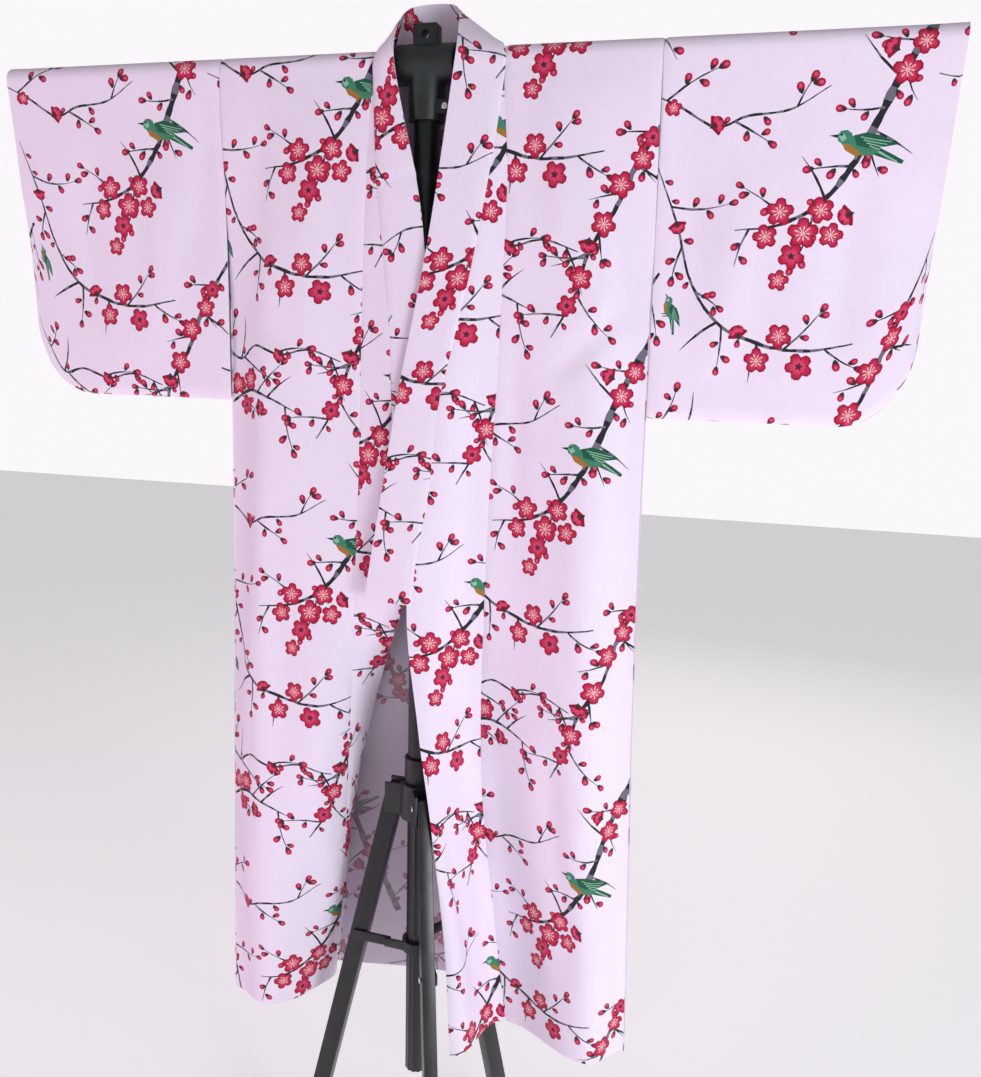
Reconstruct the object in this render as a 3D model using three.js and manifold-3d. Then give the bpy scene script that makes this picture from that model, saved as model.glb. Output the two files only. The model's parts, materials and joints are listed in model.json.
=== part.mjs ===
// A yukata spread on a tripod display stand, in millimetres, +Z up.
// +X is the viewer's right, -Y is the front, and the floor is Z = 0.
// "drop" is a distance down from the fold that lies over the crossbar.

import * as THREE from "three";
import { mergeVertices } from "three/addons/utils/BufferGeometryUtils.js";
import Module from "manifold-3d";

const wasm = await Module();
wasm.setup();

// Moves the whole part so that its origin is at the centre of its base
const shiftY = 3.68;

// Driving sizes of the cloth
const clothWall = 1.8;
const collarWall = 2.4;
const seamGap = 0.5;
const foldZ = 1820;
const foldRadius = 18.8;
const bodyLength = 1482;
const halfBack = 313;
const sleeveWidth = 357;
const sleeveDrop = 484;
const sleeveTaper = 28;
const sleeveCorner = 105;
const sideSeamTop = 380;
const okumiTop = 60;
const ridgeShare = 0.36;
const collarOverlap = 3;
const collarClear = 0.7;

// Driving sizes of the stand
const mastX = -8;
const barRadius = 17;
const barHalfLength = 640;
const barZ = foldZ - foldRadius;
const mastRadius = 18;
const slipGap = 0.3;
const teeRadius = 26;
const teeHalfLength = 44;
const teePush = 15;
const socketRadius = 24.5;
const socketBottom = barZ - 74;
const mastTop = barZ - 28;
const blockSize = { width: 33, depth: 24, top: 50 };
const bossReach = 38;
const bossZ = foldZ - 75;
const sleeveTopZ = foldZ - 1017;
const hubTop = foldZ - 1058;
const hubBottom = foldZ - 1116;
const hubRadius = 29;
const pivotRadius = 40;
const pivotZ = foldZ - 1085;
const columnRadius = 18.5;
const columnBottom = 262;
const legAngles = { front: -62, back: 58, side: 178 };
const legSlope = 0.24;
const legWidth = 20;
const legDepth = 28;
const footHeight = 26;
const slotStart = 21;
const cheekThickness = 5;
const cheekReach = 52;
const braceZ = pivotZ - 250;
const braceThickness = 4;
const braceHeight = 16;
const braceInner = 42;
const runnerRadius = 25;
const runnerHeight = 18;
const lugReach = 50;
const screwRadius = 4.6;

// Colours
const colours = {
  cloth: 0xe9d9e6,
  collar: 0xf0dcea,
  plastic: 0x16181a,
  metal: 0x101112,
  chrome: 0xd8dadc,
  rubber: 0x0b0b0c,
};

// Front on the viewer's right, the upper one: side seam, soft ridge, okumi seam and edge
const overFront = [
  { drop: 0, sideX: 313, sideY: 0, ridgeX: 235, ridgeY: -19, seamX: 104, seamY: -19, edgeX: 104, edgeY: -19, turn: 0 },
  { drop: 60, sideX: 313, sideY: 0, ridgeX: 235, ridgeY: -21, seamX: 107, seamY: -21, edgeX: 99, edgeY: -22, turn: 0 },
  { drop: 160, sideX: 313, sideY: 0, ridgeX: 235, ridgeY: -26, seamX: 114, seamY: -22, edgeX: 86, edgeY: -28, turn: 0 },
  { drop: 300, sideX: 313, sideY: 0, ridgeX: 235, ridgeY: -30, seamX: 111, seamY: -22, edgeX: 62, edgeY: -36, turn: 0 },
  { drop: 430, sideX: 313, sideY: 0, ridgeX: 238, ridgeY: -32, seamX: 106, seamY: -18, edgeX: 34, edgeY: -41, turn: 0 },
  { drop: 600, sideX: 313, sideY: 2, ridgeX: 242, ridgeY: -35, seamX: 96, seamY: -10, edgeX: 11, edgeY: -44, turn: 0 },
  { drop: 765, sideX: 314, sideY: 5, ridgeX: 245, ridgeY: -37, seamX: 89, seamY: 2, edgeX: -14, edgeY: -47, turn: 0 },
  { drop: 950, sideX: 316, sideY: 10, ridgeX: 250, ridgeY: -35, seamX: 82, seamY: 22, edgeX: 8, edgeY: -55, turn: 0 },
  { drop: 1100, sideX: 319, sideY: 17, ridgeX: 256, ridgeY: -30, seamX: 85, seamY: 34, edgeX: 31, edgeY: -59, turn: 0 },
  { drop: 1300, sideX: 323, sideY: 27, ridgeX: 265, ridgeY: -21, seamX: 106, seamY: 44, edgeX: 56, edgeY: -59, turn: 0 },
  { drop: 1482, sideX: 326, sideY: 37, ridgeX: 273, ridgeY: -12, seamX: 128, seamY: 50, edgeX: 66, edgeY: -56, turn: 0 },
];

// Front on the viewer's left, the under one: its okumi turns inwards below the collar
const underFront = [
  { drop: 0, sideX: -313, sideY: 0, ridgeX: -235, ridgeY: -19, seamX: -76, seamY: -19, edgeX: -76, edgeY: -19, turn: 0 },
  { drop: 60, sideX: -313, sideY: 0, ridgeX: -235, ridgeY: -21, seamX: -81, seamY: -21, edgeX: -73, edgeY: -22, turn: 0 },
  { drop: 160, sideX: -313, sideY: 0, ridgeX: -235, ridgeY: -26, seamX: -88, seamY: -23, edgeX: -66, edgeY: -27, turn: 0 },
  { drop: 300, sideX: -313, sideY: 0, ridgeX: -235, ridgeY: -30, seamX: -93, seamY: -24, edgeX: -52, edgeY: -29, turn: 0 },
  { drop: 430, sideX: -314, sideY: 0, ridgeX: -236, ridgeY: -32, seamX: -96, seamY: -24, edgeX: -46, edgeY: -30, turn: 0 },
  { drop: 600, sideX: -316, sideY: 0, ridgeX: -240, ridgeY: -35, seamX: -100, seamY: -24, edgeX: -41, edgeY: -30, turn: 0 },
  { drop: 700, sideX: -318, sideY: 0, ridgeX: -243, ridgeY: -37, seamX: -104, seamY: -24, edgeX: -34, edgeY: -31, turn: 0 },
  { drop: 765, sideX: -319, sideY: 0, ridgeX: -245, ridgeY: -39, seamX: -107, seamY: -22, edgeX: -26, edgeY: -31, turn: 0 },
  { drop: 860, sideX: -321, sideY: 1, ridgeX: -247, ridgeY: -41, seamX: -113, seamY: -14, edgeX: -66, edgeY: 14, turn: 35 },
  { drop: 950, sideX: -324, sideY: 1, ridgeX: -250, ridgeY: -42, seamX: -120, seamY: -4, edgeX: -106, edgeY: 68, turn: 62 },
  { drop: 1100, sideX: -328, sideY: 2, ridgeX: -256, ridgeY: -41, seamX: -136, seamY: 20, edgeX: -150, edgeY: 95, turn: 75 },
  { drop: 1300, sideX: -333, sideY: 2, ridgeX: -262, ridgeY: -35, seamX: -158, seamY: 50, edgeX: -198, edgeY: 104, turn: 70 },
  { drop: 1482, sideX: -338, sideY: 2, ridgeX: -268, ridgeY: -27, seamX: -188, seamY: 78, edgeX: -238, edgeY: 102, turn: 62 },
];

// Back, the same for both halves but for the side seam: soft ridge and centre seam
const backDrape = [
  { drop: 0, ridgeX: 200, ridgeY: 19, centreY: 19 },
  { drop: 160, ridgeX: 200, ridgeY: 26, centreY: 24 },
  { drop: 430, ridgeX: 205, ridgeY: 36, centreY: 34 },
  { drop: 765, ridgeX: 215, ridgeY: 54, centreY: 62 },
  { drop: 950, ridgeX: 225, ridgeY: 82, centreY: 95 },
  { drop: 1100, ridgeX: 235, ridgeY: 106, centreY: 119 },
  { drop: 1300, ridgeX: 250, ridgeY: 119, centreY: 140 },
  { drop: 1482, ridgeX: 258, ridgeY: 119, centreY: 151 },
];

// Back neckline: how far each half reaches inwards, by distance behind the fold
const backNeck = [
  { behind: 0, over: 104, under: -76 },
  { behind: 9, over: 95, under: -71 },
  { behind: 18, over: 74, under: -58 },
  { behind: 27, over: 38, under: -32 },
  { behind: 35, over: 0.3, under: -0.3 },
];

// Free edge of the collar on each front, by the drop of its seam
const overCollarEdge = [
  { drop: 16, x: 43, y: -31, low: 6 },
  { drop: 150, x: 25, y: -36, low: 144 },
  { drop: 270, x: 6, y: -41, low: 272 },
  { drop: 460, x: -31, y: -45, low: 462 },
  { drop: 600, x: -54, y: -47, low: 603 },
  { drop: 765, x: -81, y: -48, low: 763 },
];
const underCollarEdge = [
  { drop: 16, x: -45, y: -32, low: 2 },
  { drop: 63, x: -38, y: -32, low: 58 },
  { drop: 121, x: -21, y: -32, low: 120 },
  { drop: 180, x: -10, y: -32, low: 180 },
  { drop: 252, x: 2, y: -32, low: 252 },
  { drop: 430, x: 9, y: -34, low: 430 },
  { drop: 600, x: 12, y: -36, low: 600 },
  { drop: 765, x: 8, y: -38, low: 760 },
];

// Collar round the back of the neck: seam point and free edge point
const neckCollar = [
  { seamX: 101, seamY: -12, seamLow: -1, edgeX: 40, edgeY: -14, edgeLow: -22 },
  { seamX: 98, seamY: 6, seamLow: -1, edgeX: 34, edgeY: 8, edgeLow: -46 },
  { seamX: 80, seamY: 22, seamLow: 5, edgeX: 22, edgeY: 30, edgeLow: -62 },
  { seamX: 44, seamY: 39, seamLow: 17, edgeX: 6, edgeY: 44, edgeLow: -69 },
  { seamX: 0, seamY: 39, seamLow: 24, edgeX: -12, edgeY: 49, edgeLow: -71 },
  { seamX: -36, seamY: 37, seamLow: 18, edgeX: -30, edgeY: 44, edgeLow: -69 },
  { seamX: -62, seamY: 29, seamLow: 5, edgeX: -43, edgeY: 30, edgeLow: -62 },
  { seamX: -75, seamY: 12, seamLow: -1, edgeX: -48, edgeY: 8, edgeLow: -46 },
  { seamX: -74, seamY: -12, seamLow: -1, edgeX: -47, edgeY: -18, edgeLow: -22 },
];

// Half the distance between a sleeve's front and back, by drop, at its inner end and cuff
const sleeveDepth = [
  { drop: 19, inner: 18.8, middle: 18.8, cuff: 18.8 },
  { drop: 90, inner: 15, middle: 15, cuff: 14 },
  { drop: 170, inner: 11, middle: 13, cuff: 10 },
  { drop: 260, inner: 7, middle: 11, cuff: 1.5 },
  { drop: 400, inner: 6, middle: 9, cuff: 1.5 },
  { drop: 484, inner: 5, middle: 6, cuff: 1.5 },
];

const root = new THREE.Group();
const unit = (f) => THREE.MathUtils.clamp(f, 0, 1);
const ease = (f) => f * f * (3 - 2 * f);
const radians = THREE.MathUtils.degToRad;

// Reads one column of a table as a smooth curve
function track(rows, key, column, at) {
  const last = rows.length - 1;
  const value = THREE.MathUtils.clamp(at, rows[0][key], rows[last][key]);
  let i = 0;
  while (i < last - 1 && value > rows[i + 1][key]) i += 1;
  const slope = (j) => {
    const a = rows[Math.max(j - 1, 0)];
    const b = rows[Math.min(j + 1, last)];
    return (b[column] - a[column]) / (b[key] - a[key]);
  };
  const span = rows[i + 1][key] - rows[i][key];
  const f = (value - rows[i][key]) / span;
  const fromStart = rows[i][column] * (1 + 2 * f) * (1 - f) ** 2 + slope(i) * span * f * (1 - f) ** 2;
  const fromEnd = rows[i + 1][column] * f * f * (3 - 2 * f) + slope(i + 1) * span * f * f * (f - 1);
  return fromStart + fromEnd;
}

// Half the depth at the side: as wide as the bar at the top, closed at the side seam
function sideDepth(drop) {
  const closed = clothWall / 2 + seamGap / 2;
  const f = unit((drop - foldRadius) / (sideSeamTop - foldRadius));
  return closed + (foldRadius - closed) * (1 - ease(f));
}

// Cloth length from the fold, turned into an angle on the bar and a drop below it
function overBar(length) {
  const quarter = (foldRadius * Math.PI) / 2;
  const angle = Math.min(length, quarter) / foldRadius;
  const drop = foldRadius * (1 - Math.cos(angle)) + Math.max(length - quarter, 0);
  return { angle, drop };
}

const lengthAt = (drop) => drop - foldRadius + (foldRadius * Math.PI) / 2;

// A smooth arc in plan from a to b that leaves and arrives along the given directions
function arc(a, b, leaving, arriving, f) {
  const third = Math.hypot(b[0] - a[0], b[1] - a[1]) / 3;
  const point = (axis) => {
    const ends = [a[axis], a[axis] + leaving[axis] * third, b[axis] - arriving[axis] * third, b[axis]];
    return ends[0] * (1 - f) ** 3 + 3 * ends[1] * f * (1 - f) ** 2 + 3 * ends[2] * f * f * (1 - f) + ends[3] * f ** 3;
  };
  return [point(0), point(1)];
}

// Across a panel from its side over one level ridge to its inner seam
function across(s, ridgeAt, side, ridge, inner, arriving) {
  const level = [Math.sign(inner[0] - side[0]), 0];
  if (s < ridgeAt) return arc(side, ridge, level, level, s / ridgeAt);
  return arc(ridge, inner, level, arriving, (s - ridgeAt) / (1 - ridgeAt));
}

// Direction in plan that the cloth takes where the front meets the okumi
function seamDirection(table, drop) {
  const inward = -Math.sign(track(table, "drop", "sideX", drop));
  const turn = radians(track(table, "drop", "turn", drop));
  return [inward * Math.cos(turn), Math.sin(turn)];
}

// The okumi seam, moved past it by a part of the seam's gap
function atSeam(table, drop, past) {
  const direction = seamDirection(table, drop);
  return ["seamX", "seamY"].map((column, axis) => track(table, "drop", column, drop) + direction[axis] * past);
}

// Front panel: s runs from the side seam to the okumi seam, length from the fold
function frontPoint(table, s, length) {
  const { angle, drop } = overBar(length);
  const read = (column) => track(table, "drop", column, drop);
  const side = [read("sideX"), read("sideY") - sideDepth(drop)];
  const seam = atSeam(table, drop, -seamGap / 2);
  const ridge = [read("ridgeX"), read("ridgeY")];
  const [x, hanging] = across(s, ridgeShare, side, ridge, seam, seamDirection(table, drop));
  const onBar = -foldRadius * Math.sin(angle);
  const blend = ease(unit((drop - foldRadius) / 40));
  return new THREE.Vector3(x, onBar + (hanging - onBar) * blend, foldZ - drop);
}

// How far the tee fitting pushes the back out below the neck
function pastTee(x, drop) {
  const beside = (teeHalfLength + 34 - Math.abs(x - mastX)) / 16;
  const below = (drop - 110) / 140;
  return teePush * ease(unit(beside)) * (1 - ease(unit(below)));
}

// Back panel of the same length of cloth: s runs from the side seam to the centre
function backPoint(table, s, length) {
  const { angle, drop } = overBar(length);
  const read = (column) => track(table, "drop", column, drop);
  const outward = Math.sign(read("sideX"));
  const neck = outward > 0 ? "over" : "under";
  const inner = length < backNeck.at(-1).behind ? track(backNeck, "behind", neck, length) : outward * 0.3;
  const drape = (column) => track(backDrape, "drop", column, drop);
  const side = [read("sideX"), read("sideY") + sideDepth(drop)];
  const ridge = [outward * drape("ridgeX"), drape("ridgeY")];
  const level = [-outward, 0];
  const [x, hanging] = across(s, ridgeShare, side, ridge, [inner, drape("centreY")], level);
  const onBar = foldRadius * Math.sin(angle);
  const blend = ease(unit((drop - foldRadius) / 40));
  const y = onBar + (hanging - onBar) * blend + pastTee(x, drop) * Math.sin(angle) ** 2;
  return new THREE.Vector3(x, y, foldZ - drop);
}

// Okumi: s runs from its seam to the collar seam, or to the front edge below the collar
function okumiPoint(table, s, drop) {
  const read = (column) => track(table, "drop", column, drop);
  const seam = atSeam(table, drop, seamGap / 2);
  const edge = [read("edgeX"), read("edgeY")];
  const start = seamDirection(table, drop);
  const chord = Math.hypot(edge[0] - seam[0], edge[1] - seam[1]);
  const turned = unit(read("turn") / 30);
  const level = [start[0] > 0 ? 1 : -1, 0];
  const along = [0, 1].map((axis) => (edge[axis] - seam[axis]) / chord);
  const end = [0, 1].map((axis) => level[axis] * (1 - turned) + along[axis] * turned);
  const [x, y] = arc(seam, edge, start, end, s);
  return new THREE.Vector3(x, y, foldZ - drop);
}

// Collar stations: seam and free edge up one front, round the neck and down the other
function collarStations() {
  const frontStation = (table, edge, drop) => {
    const away = Math.sign(track(table, "drop", "sideX", drop)) * collarOverlap;
    const lift = clothWall / 2 + collarWall / 2 + collarClear;
    const seamX = track(table, "drop", "edgeX", drop) + away;
    const seamY = track(table, "drop", "edgeY", drop) - lift;
    const free = (column) => track(edge, "drop", column, drop);
    return {
      seam: new THREE.Vector3(seamX, seamY, foldZ - drop),
      edge: new THREE.Vector3(free("x"), free("y"), foldZ - free("low")),
    };
  };
  const drops = [765, 690, 610, 530, 450, 370, 290, 220, 150, 90, 40, 16];
  const up = drops.map((drop) => frontStation(overFront, overCollarEdge, drop));
  const down = drops.map((drop) => frontStation(underFront, underCollarEdge, drop)).reverse();
  const round = neckCollar.map((row) => ({
    seam: new THREE.Vector3(row.seamX, row.seamY, foldZ - row.seamLow),
    edge: new THREE.Vector3(row.edgeX, row.edgeY, foldZ - row.edgeLow),
  }));
  return [...up, ...round, ...down];
}

const stations = collarStations();
const seamLine = new THREE.CatmullRomCurve3(stations.map((row) => row.seam), false, "centripetal");
const freeLine = new THREE.CatmullRomCurve3(stations.map((row) => row.edge), false, "centripetal");

// Collar: s runs from its seam to its free edge, along from the upper end to the under one
function collarPoint(s, along) {
  return seamLine.getPoint(along).lerp(freeLine.getPoint(along), s);
}

// Sleeve ring: around runs up the front, over the bar, down the back and along the bottom
function sleevePoint(outward, around, along) {
  const reach = sleeveWidth * along;
  const pastCorner = Math.max(reach - (sleeveWidth - sleeveCorner), 0) / sleeveCorner;
  const bottom = sleeveDrop - sleeveCorner * (1 - Math.sqrt(Math.max(1 - pastCorner ** 2, 0)));
  const front = around < 0.5;
  const f = front ? 1 - around * 2 : around * 2 - 1;
  const quarter = 0.12;
  let drop = foldRadius * (1 - Math.cos((f / quarter) * (Math.PI / 2)));
  if (f > quarter) drop = foldRadius + ((f - quarter) / (1 - quarter)) * (bottom - foldRadius);
  const depthAt = (column) => track(sleeveDepth, "drop", column, Math.max(drop, foldRadius));
  const toMiddle = 1 - Math.min(Math.abs(along - 0.5) * 2, 1);
  const end = along < 0.5 ? depthAt("inner") : depthAt("cuff");
  let depth = end + (depthAt("middle") - end) * ease(toMiddle);
  if (f <= quarter) depth = foldRadius * Math.sin((f / quarter) * (Math.PI / 2));
  const swing = 5 * Math.sin(along * 5 + 0.6 * outward) * ease(drop / sleeveDrop);
  const x = halfBack + 1.6 + reach - sleeveTaper * along ** 3 * (drop / sleeveDrop);
  return new THREE.Vector3(outward * x, (front ? -depth : depth) + swing, foldZ - drop);
}

// Turns a list of points and triangles into a geometry with its faces pointing out
function solidFrom(points, triangles) {
  const at = (i) => points[i];
  let volume = 0;
  for (const [a, b, c] of triangles) volume += at(a).dot(at(b).clone().cross(at(c)));
  const geometry = new THREE.BufferGeometry();
  geometry.setAttribute("position", new THREE.Float32BufferAttribute(points.flatMap((p) => [p.x, p.y, p.z]), 3));
  geometry.setIndex(triangles.flatMap(([a, b, c]) => (volume > 0 ? [a, b, c] : [a, c, b])));
  return geometry;
}

// A cloth wall on a grid of middle points: two skins with a rim round every open side
function wall(middle, columns, rows, thickness, ring = false) {
  const width = columns.length;
  const height = rows.length;
  const points = [];
  const acrossStep = 0.004;
  const alongStep = (rows.at(-1) - rows[0]) * 0.0005;
  const [low, high] = [rows[0], rows.at(-1)].sort((a, b) => a - b);
  const column = (u) => (ring ? (u + 1) % 1 : THREE.MathUtils.clamp(u, 0, 1));
  const row = (v) => THREE.MathUtils.clamp(v, low, high);
  for (const sign of [1, -1]) {
    for (const v of rows) {
      for (const u of columns) {
        const du = middle(column(u + acrossStep), v).sub(middle(column(u - acrossStep), v));
        const dv = middle(u, row(v + alongStep)).sub(middle(u, row(v - alongStep)));
        const normal = du.cross(dv).normalize();
        points.push(middle(u, v).addScaledVector(normal, (sign * thickness) / 2));
      }
    }
  }
  const index = (skin, i, j) => skin * width * height + j * width + (i % width);
  const triangles = [];
  const quad = (a, b, c, d) => triangles.push([a, b, c], [a, c, d]);
  const cells = ring ? width : width - 1;
  for (let j = 0; j < height - 1; j += 1) {
    for (let i = 0; i < cells; i += 1) {
      quad(index(0, i, j), index(0, i + 1, j), index(0, i + 1, j + 1), index(0, i, j + 1));
      quad(index(1, i, j), index(1, i, j + 1), index(1, i + 1, j + 1), index(1, i + 1, j));
    }
  }
  for (let i = 0; i < cells; i += 1) {
    const end = height - 1;
    quad(index(0, i, 0), index(1, i, 0), index(1, i + 1, 0), index(0, i + 1, 0));
    quad(index(0, i + 1, end), index(1, i + 1, end), index(1, i, end), index(0, i, end));
  }
  for (let j = 0; j < height - 1 && !ring; j += 1) {
    const end = width - 1;
    quad(index(0, 0, j + 1), index(1, 0, j + 1), index(1, 0, j), index(0, 0, j));
    quad(index(0, end, j), index(1, end, j), index(1, end, j + 1), index(0, end, j + 1));
  }
  return solidFrom(points, triangles);
}

const steps = (count) => Array.from({ length: count + 1 }, (_, i) => i / count);

function addPart(name, geometry, look, parent = root) {
  const finish = {
    cloth: { color: colours.cloth, roughness: 0.9, metalness: 0 },
    collar: { color: colours.collar, roughness: 0.9, metalness: 0 },
    plastic: { color: colours.plastic, roughness: 0.55, metalness: 0 },
    metal: { color: colours.metal, roughness: 0.4, metalness: 0.6 },
    chrome: { color: colours.chrome, roughness: 0.15, metalness: 1 },
    rubber: { color: colours.rubber, roughness: 0.8, metalness: 0 },
  }[look];
  const mesh = new THREE.Mesh(geometry, new THREE.MeshStandardMaterial({ ...finish, side: THREE.DoubleSide }));
  geometry.translate(0, shiftY, 0);
  mesh.name = name;
  parent.add(mesh);
  return mesh;
}

// Drops of the front's rows, which the okumi shares
const frontDrops = [bodyLength, 1410, 1340, 1270, 1200, 1130, 1060, 990, 920, 850, 780, 710, 640, 570, 500, 430,
  370, 310, 250, 190, 140, 95, okumiTop, 38];

// One length of cloth for each half of the body: front hem, over the bar, back hem
function addBody(name, table) {
  const below = (drops) => drops.map((drop) => lengthAt(drop));
  const front = below(frontDrops);
  const top = [lengthAt(foldRadius), 23, 16.5, 10, 4];
  const behind = [4, 9, 14, 18, 22.5, 27, 31, 35.5];
  const back = below([45, 62, 95, 140, 200, 270, 350, 430, 520, 610, 700, 790, 880, 970, 1060, 1150, 1240,
    1330, 1410, bodyLength]);
  const rows = [...front, ...top, ...behind.map((length) => -length), ...back.map((length) => -length)];
  const middle = (s, length) => (length > 0 ? frontPoint(table, s, length) : backPoint(table, s, -length));
  const columns = [0, 0.06, 0.16, 0.26, ridgeShare, 0.48, 0.6, 0.74, 0.87, 1];
  addPart(name, wall(middle, columns, rows, clothWall), "cloth");
}

function addOkumi(name, table) {
  const drops = frontDrops.filter((drop) => drop >= okumiTop);
  addPart(name, wall((s, drop) => okumiPoint(table, s, drop), steps(4), drops, clothWall), "cloth");
}

function addSleeve(name, outward) {
  const quarter = 0.12;
  const hanging = [1, 0.86, 0.72, 0.58, 0.45, 0.34, 0.25, 0.18];
  const bend = [1, 0.75, 0.5, 0.25].map((f) => f * quarter);
  const down = [...hanging, ...bend];
  const columns = [...down.map((f) => (1 - f) / 2), 0.5, ...down.toReversed().map((f) => (1 + f) / 2)];
  const corner = [0.25, 0.5, 0.72, 0.88, 0.97, 1].map((f) => 1 - (sleeveCorner / sleeveWidth) * (1 - f));
  const rows = [0, 0.14, 0.28, 0.42, 0.56, 0.7, ...corner];
  const ring = (around, along) => sleevePoint(outward, around, along);
  addPart(name, wall(ring, columns, rows, clothWall, true), "cloth");
}

addBody("body_left_length", overFront);
addBody("body_right_length", underFront);
addOkumi("okumi_left", overFront);
addOkumi("okumi_right", underFront);
addSleeve("sleeve_left", 1);
addSleeve("sleeve_right", -1);
addPart("collar", wall(collarPoint, steps(3), steps(64), collarWall), "collar");

// Closed three.js shapes as solids that can be joined and cut
function toSolid(geometry) {
  const bare = geometry.clone();
  bare.deleteAttribute("normal");
  bare.deleteAttribute("uv");
  const merged = mergeVertices(bare, 1e-4);
  return new wasm.Manifold(
    new wasm.Mesh({
      numProp: 3,
      vertProperties: new Float32Array(merged.attributes.position.array),
      triVerts: new Uint32Array(merged.index.array),
    })
  );
}

function toGeometry(solid) {
  const mesh = solid.getMesh();
  const geometry = new THREE.BufferGeometry();
  geometry.setAttribute("position", new THREE.BufferAttribute(new Float32Array(mesh.vertProperties), 3));
  geometry.setIndex(Array.from(mesh.triVerts));
  return geometry;
}

const box = (w, d, h, x, y, z) => new THREE.BoxGeometry(w, d, h).translate(x, y, z);
const upright = (r, bottom, top, x = mastX, sides = 24) =>
  new THREE.CylinderGeometry(r, r, top - bottom, sides).rotateX(Math.PI / 2).translate(x, 0, (bottom + top) / 2);
const lengthwise = (r, from, to, z, sides = 24) =>
  new THREE.CylinderGeometry(r, r, to - from, sides).rotateZ(Math.PI / 2).translate((from + to) / 2, 0, z);
const frontways = (r, from, to, x, z, sides = 16) =>
  new THREE.CylinderGeometry(r, r, to - from, sides).translate(x, (from + to) / 2, z);

// Crossbar, with a plug in each end
addPart("crossbar", lengthwise(barRadius, -barHalfLength, barHalfLength, barZ), "metal");
for (const [name, outward] of [["left", 1], ["right", -1]]) {
  const from = outward * (barHalfLength + slipGap);
  const to = outward * (barHalfLength + 8);
  addPart(`bar_plug_${name}`, lengthwise(barRadius - 1, Math.min(from, to), Math.max(from, to), barZ), "plastic");
}

// Tee: a sleeve round the crossbar, a socket for the mast, the top block and the clamp boss
function addTee() {
  const { width, depth, top } = blockSize;
  const solids = [
    lengthwise(teeRadius, mastX - teeHalfLength, mastX + teeHalfLength, barZ),
    upright(socketRadius, socketBottom, barZ),
    box(width, depth, top - 12, mastX, 0, barZ + (top + 12) / 2),
    box(bossReach - 12, 16, 18, mastX + (bossReach + 12) / 2, -6, bossZ),
  ].map(toSolid);
  const bores = [
    lengthwise(barRadius + slipGap, mastX - teeHalfLength - 2, mastX + teeHalfLength + 2, barZ),
    upright(mastRadius + slipGap, socketBottom - 2, barZ - teeRadius + 4),
    frontways(6, -depth, depth, mastX, barZ + teeRadius + 10),
  ].map(toSolid);
  const joined = solids.reduce((a, b) => a.add(b));
  addPart("tee", toGeometry(bores.reduce((a, b) => a.subtract(b), joined)), "plastic");
  const face = -14 - slipGap;
  addPart("tee_screw", frontways(screwRadius, face - 3, face, mastX + bossReach - 7, bossZ), "chrome");
}
addTee();

// Mast, its lower sleeve, and the ribbed column below the hub
addPart("mast", upright(mastRadius, hubTop + slipGap, mastTop), "metal");

function addMastSleeve() {
  const outer = toSolid(upright(mastRadius + 5, hubTop + slipGap, sleeveTopZ));
  const bore = toSolid(upright(mastRadius + slipGap, hubTop - 2, sleeveTopZ + 2));
  addPart("mast_sleeve", toGeometry(outer.subtract(bore)), "plastic");
}
addMastSleeve();

function addColumn() {
  const ribs = 12;
  const outline = [];
  for (let i = 0; i < ribs * 2; i += 1) {
    const radius = columnRadius - (i % 2) * 1.6;
    const angle = (i / (ribs * 2)) * Math.PI * 2;
    outline.push(new THREE.Vector2(radius * Math.cos(angle), radius * Math.sin(angle)));
  }
  const height = hubBottom - slipGap - columnBottom;
  const shaft = new THREE.ExtrudeGeometry(new THREE.Shape(outline), { depth: height, bevelEnabled: false });
  addPart("column", shaft.translate(mastX, 0, columnBottom), "metal");
}
addColumn();

// Everything that repeats at the three legs is built along +X and turned about the mast
function turned(geometry, angle) {
  return geometry.rotateZ(radians(angle)).translate(mastX, 0, 0);
}

function addHub() {
  let solid = toSolid(upright(hubRadius, hubBottom, hubTop, mastX, 30));
  for (const angle of Object.values(legAngles)) {
    for (const side of [1, -1]) {
      const y = side * (legWidth / 2 + slipGap + cheekThickness / 2);
      const cheek = box(cheekReach - 18, cheekThickness, 50, (cheekReach + 18) / 2, y, pivotZ - 2);
      solid = solid.add(toSolid(turned(cheek, angle)));
    }
    const slot = box(60, legWidth + 2 * slipGap, 62, slotStart + 30, 0, pivotZ);
    solid = solid.subtract(toSolid(turned(slot, angle)));
  }
  addPart("hub", toGeometry(solid), "plastic");
}
addHub();

// Leg: a straight bar from its pivot down to a rubber foot cut level with the floor
function legSolids() {
  const lean = Math.atan(legSlope);
  const long = (pivotZ + 60) / Math.cos(lean);
  const bar = box(legDepth, legWidth, long + 14, 0, 0, -(long + 14) / 2 + 14);
  bar.rotateY(-lean).translate(pivotRadius, 0, pivotZ);
  const shoe = box(legDepth + 8, legWidth + 8, 120, 0, 0, -long + 80);
  shoe.rotateY(-lean).translate(pivotRadius, 0, pivotZ);
  const wide = 900;
  const above = (z) => toSolid(box(wide, wide, wide, 0, 0, z + wide / 2));
  return {
    leg: toSolid(bar).intersect(above(footHeight + slipGap)),
    shoe: toSolid(shoe).intersect(above(0)).subtract(above(footHeight)),
  };
}

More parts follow.
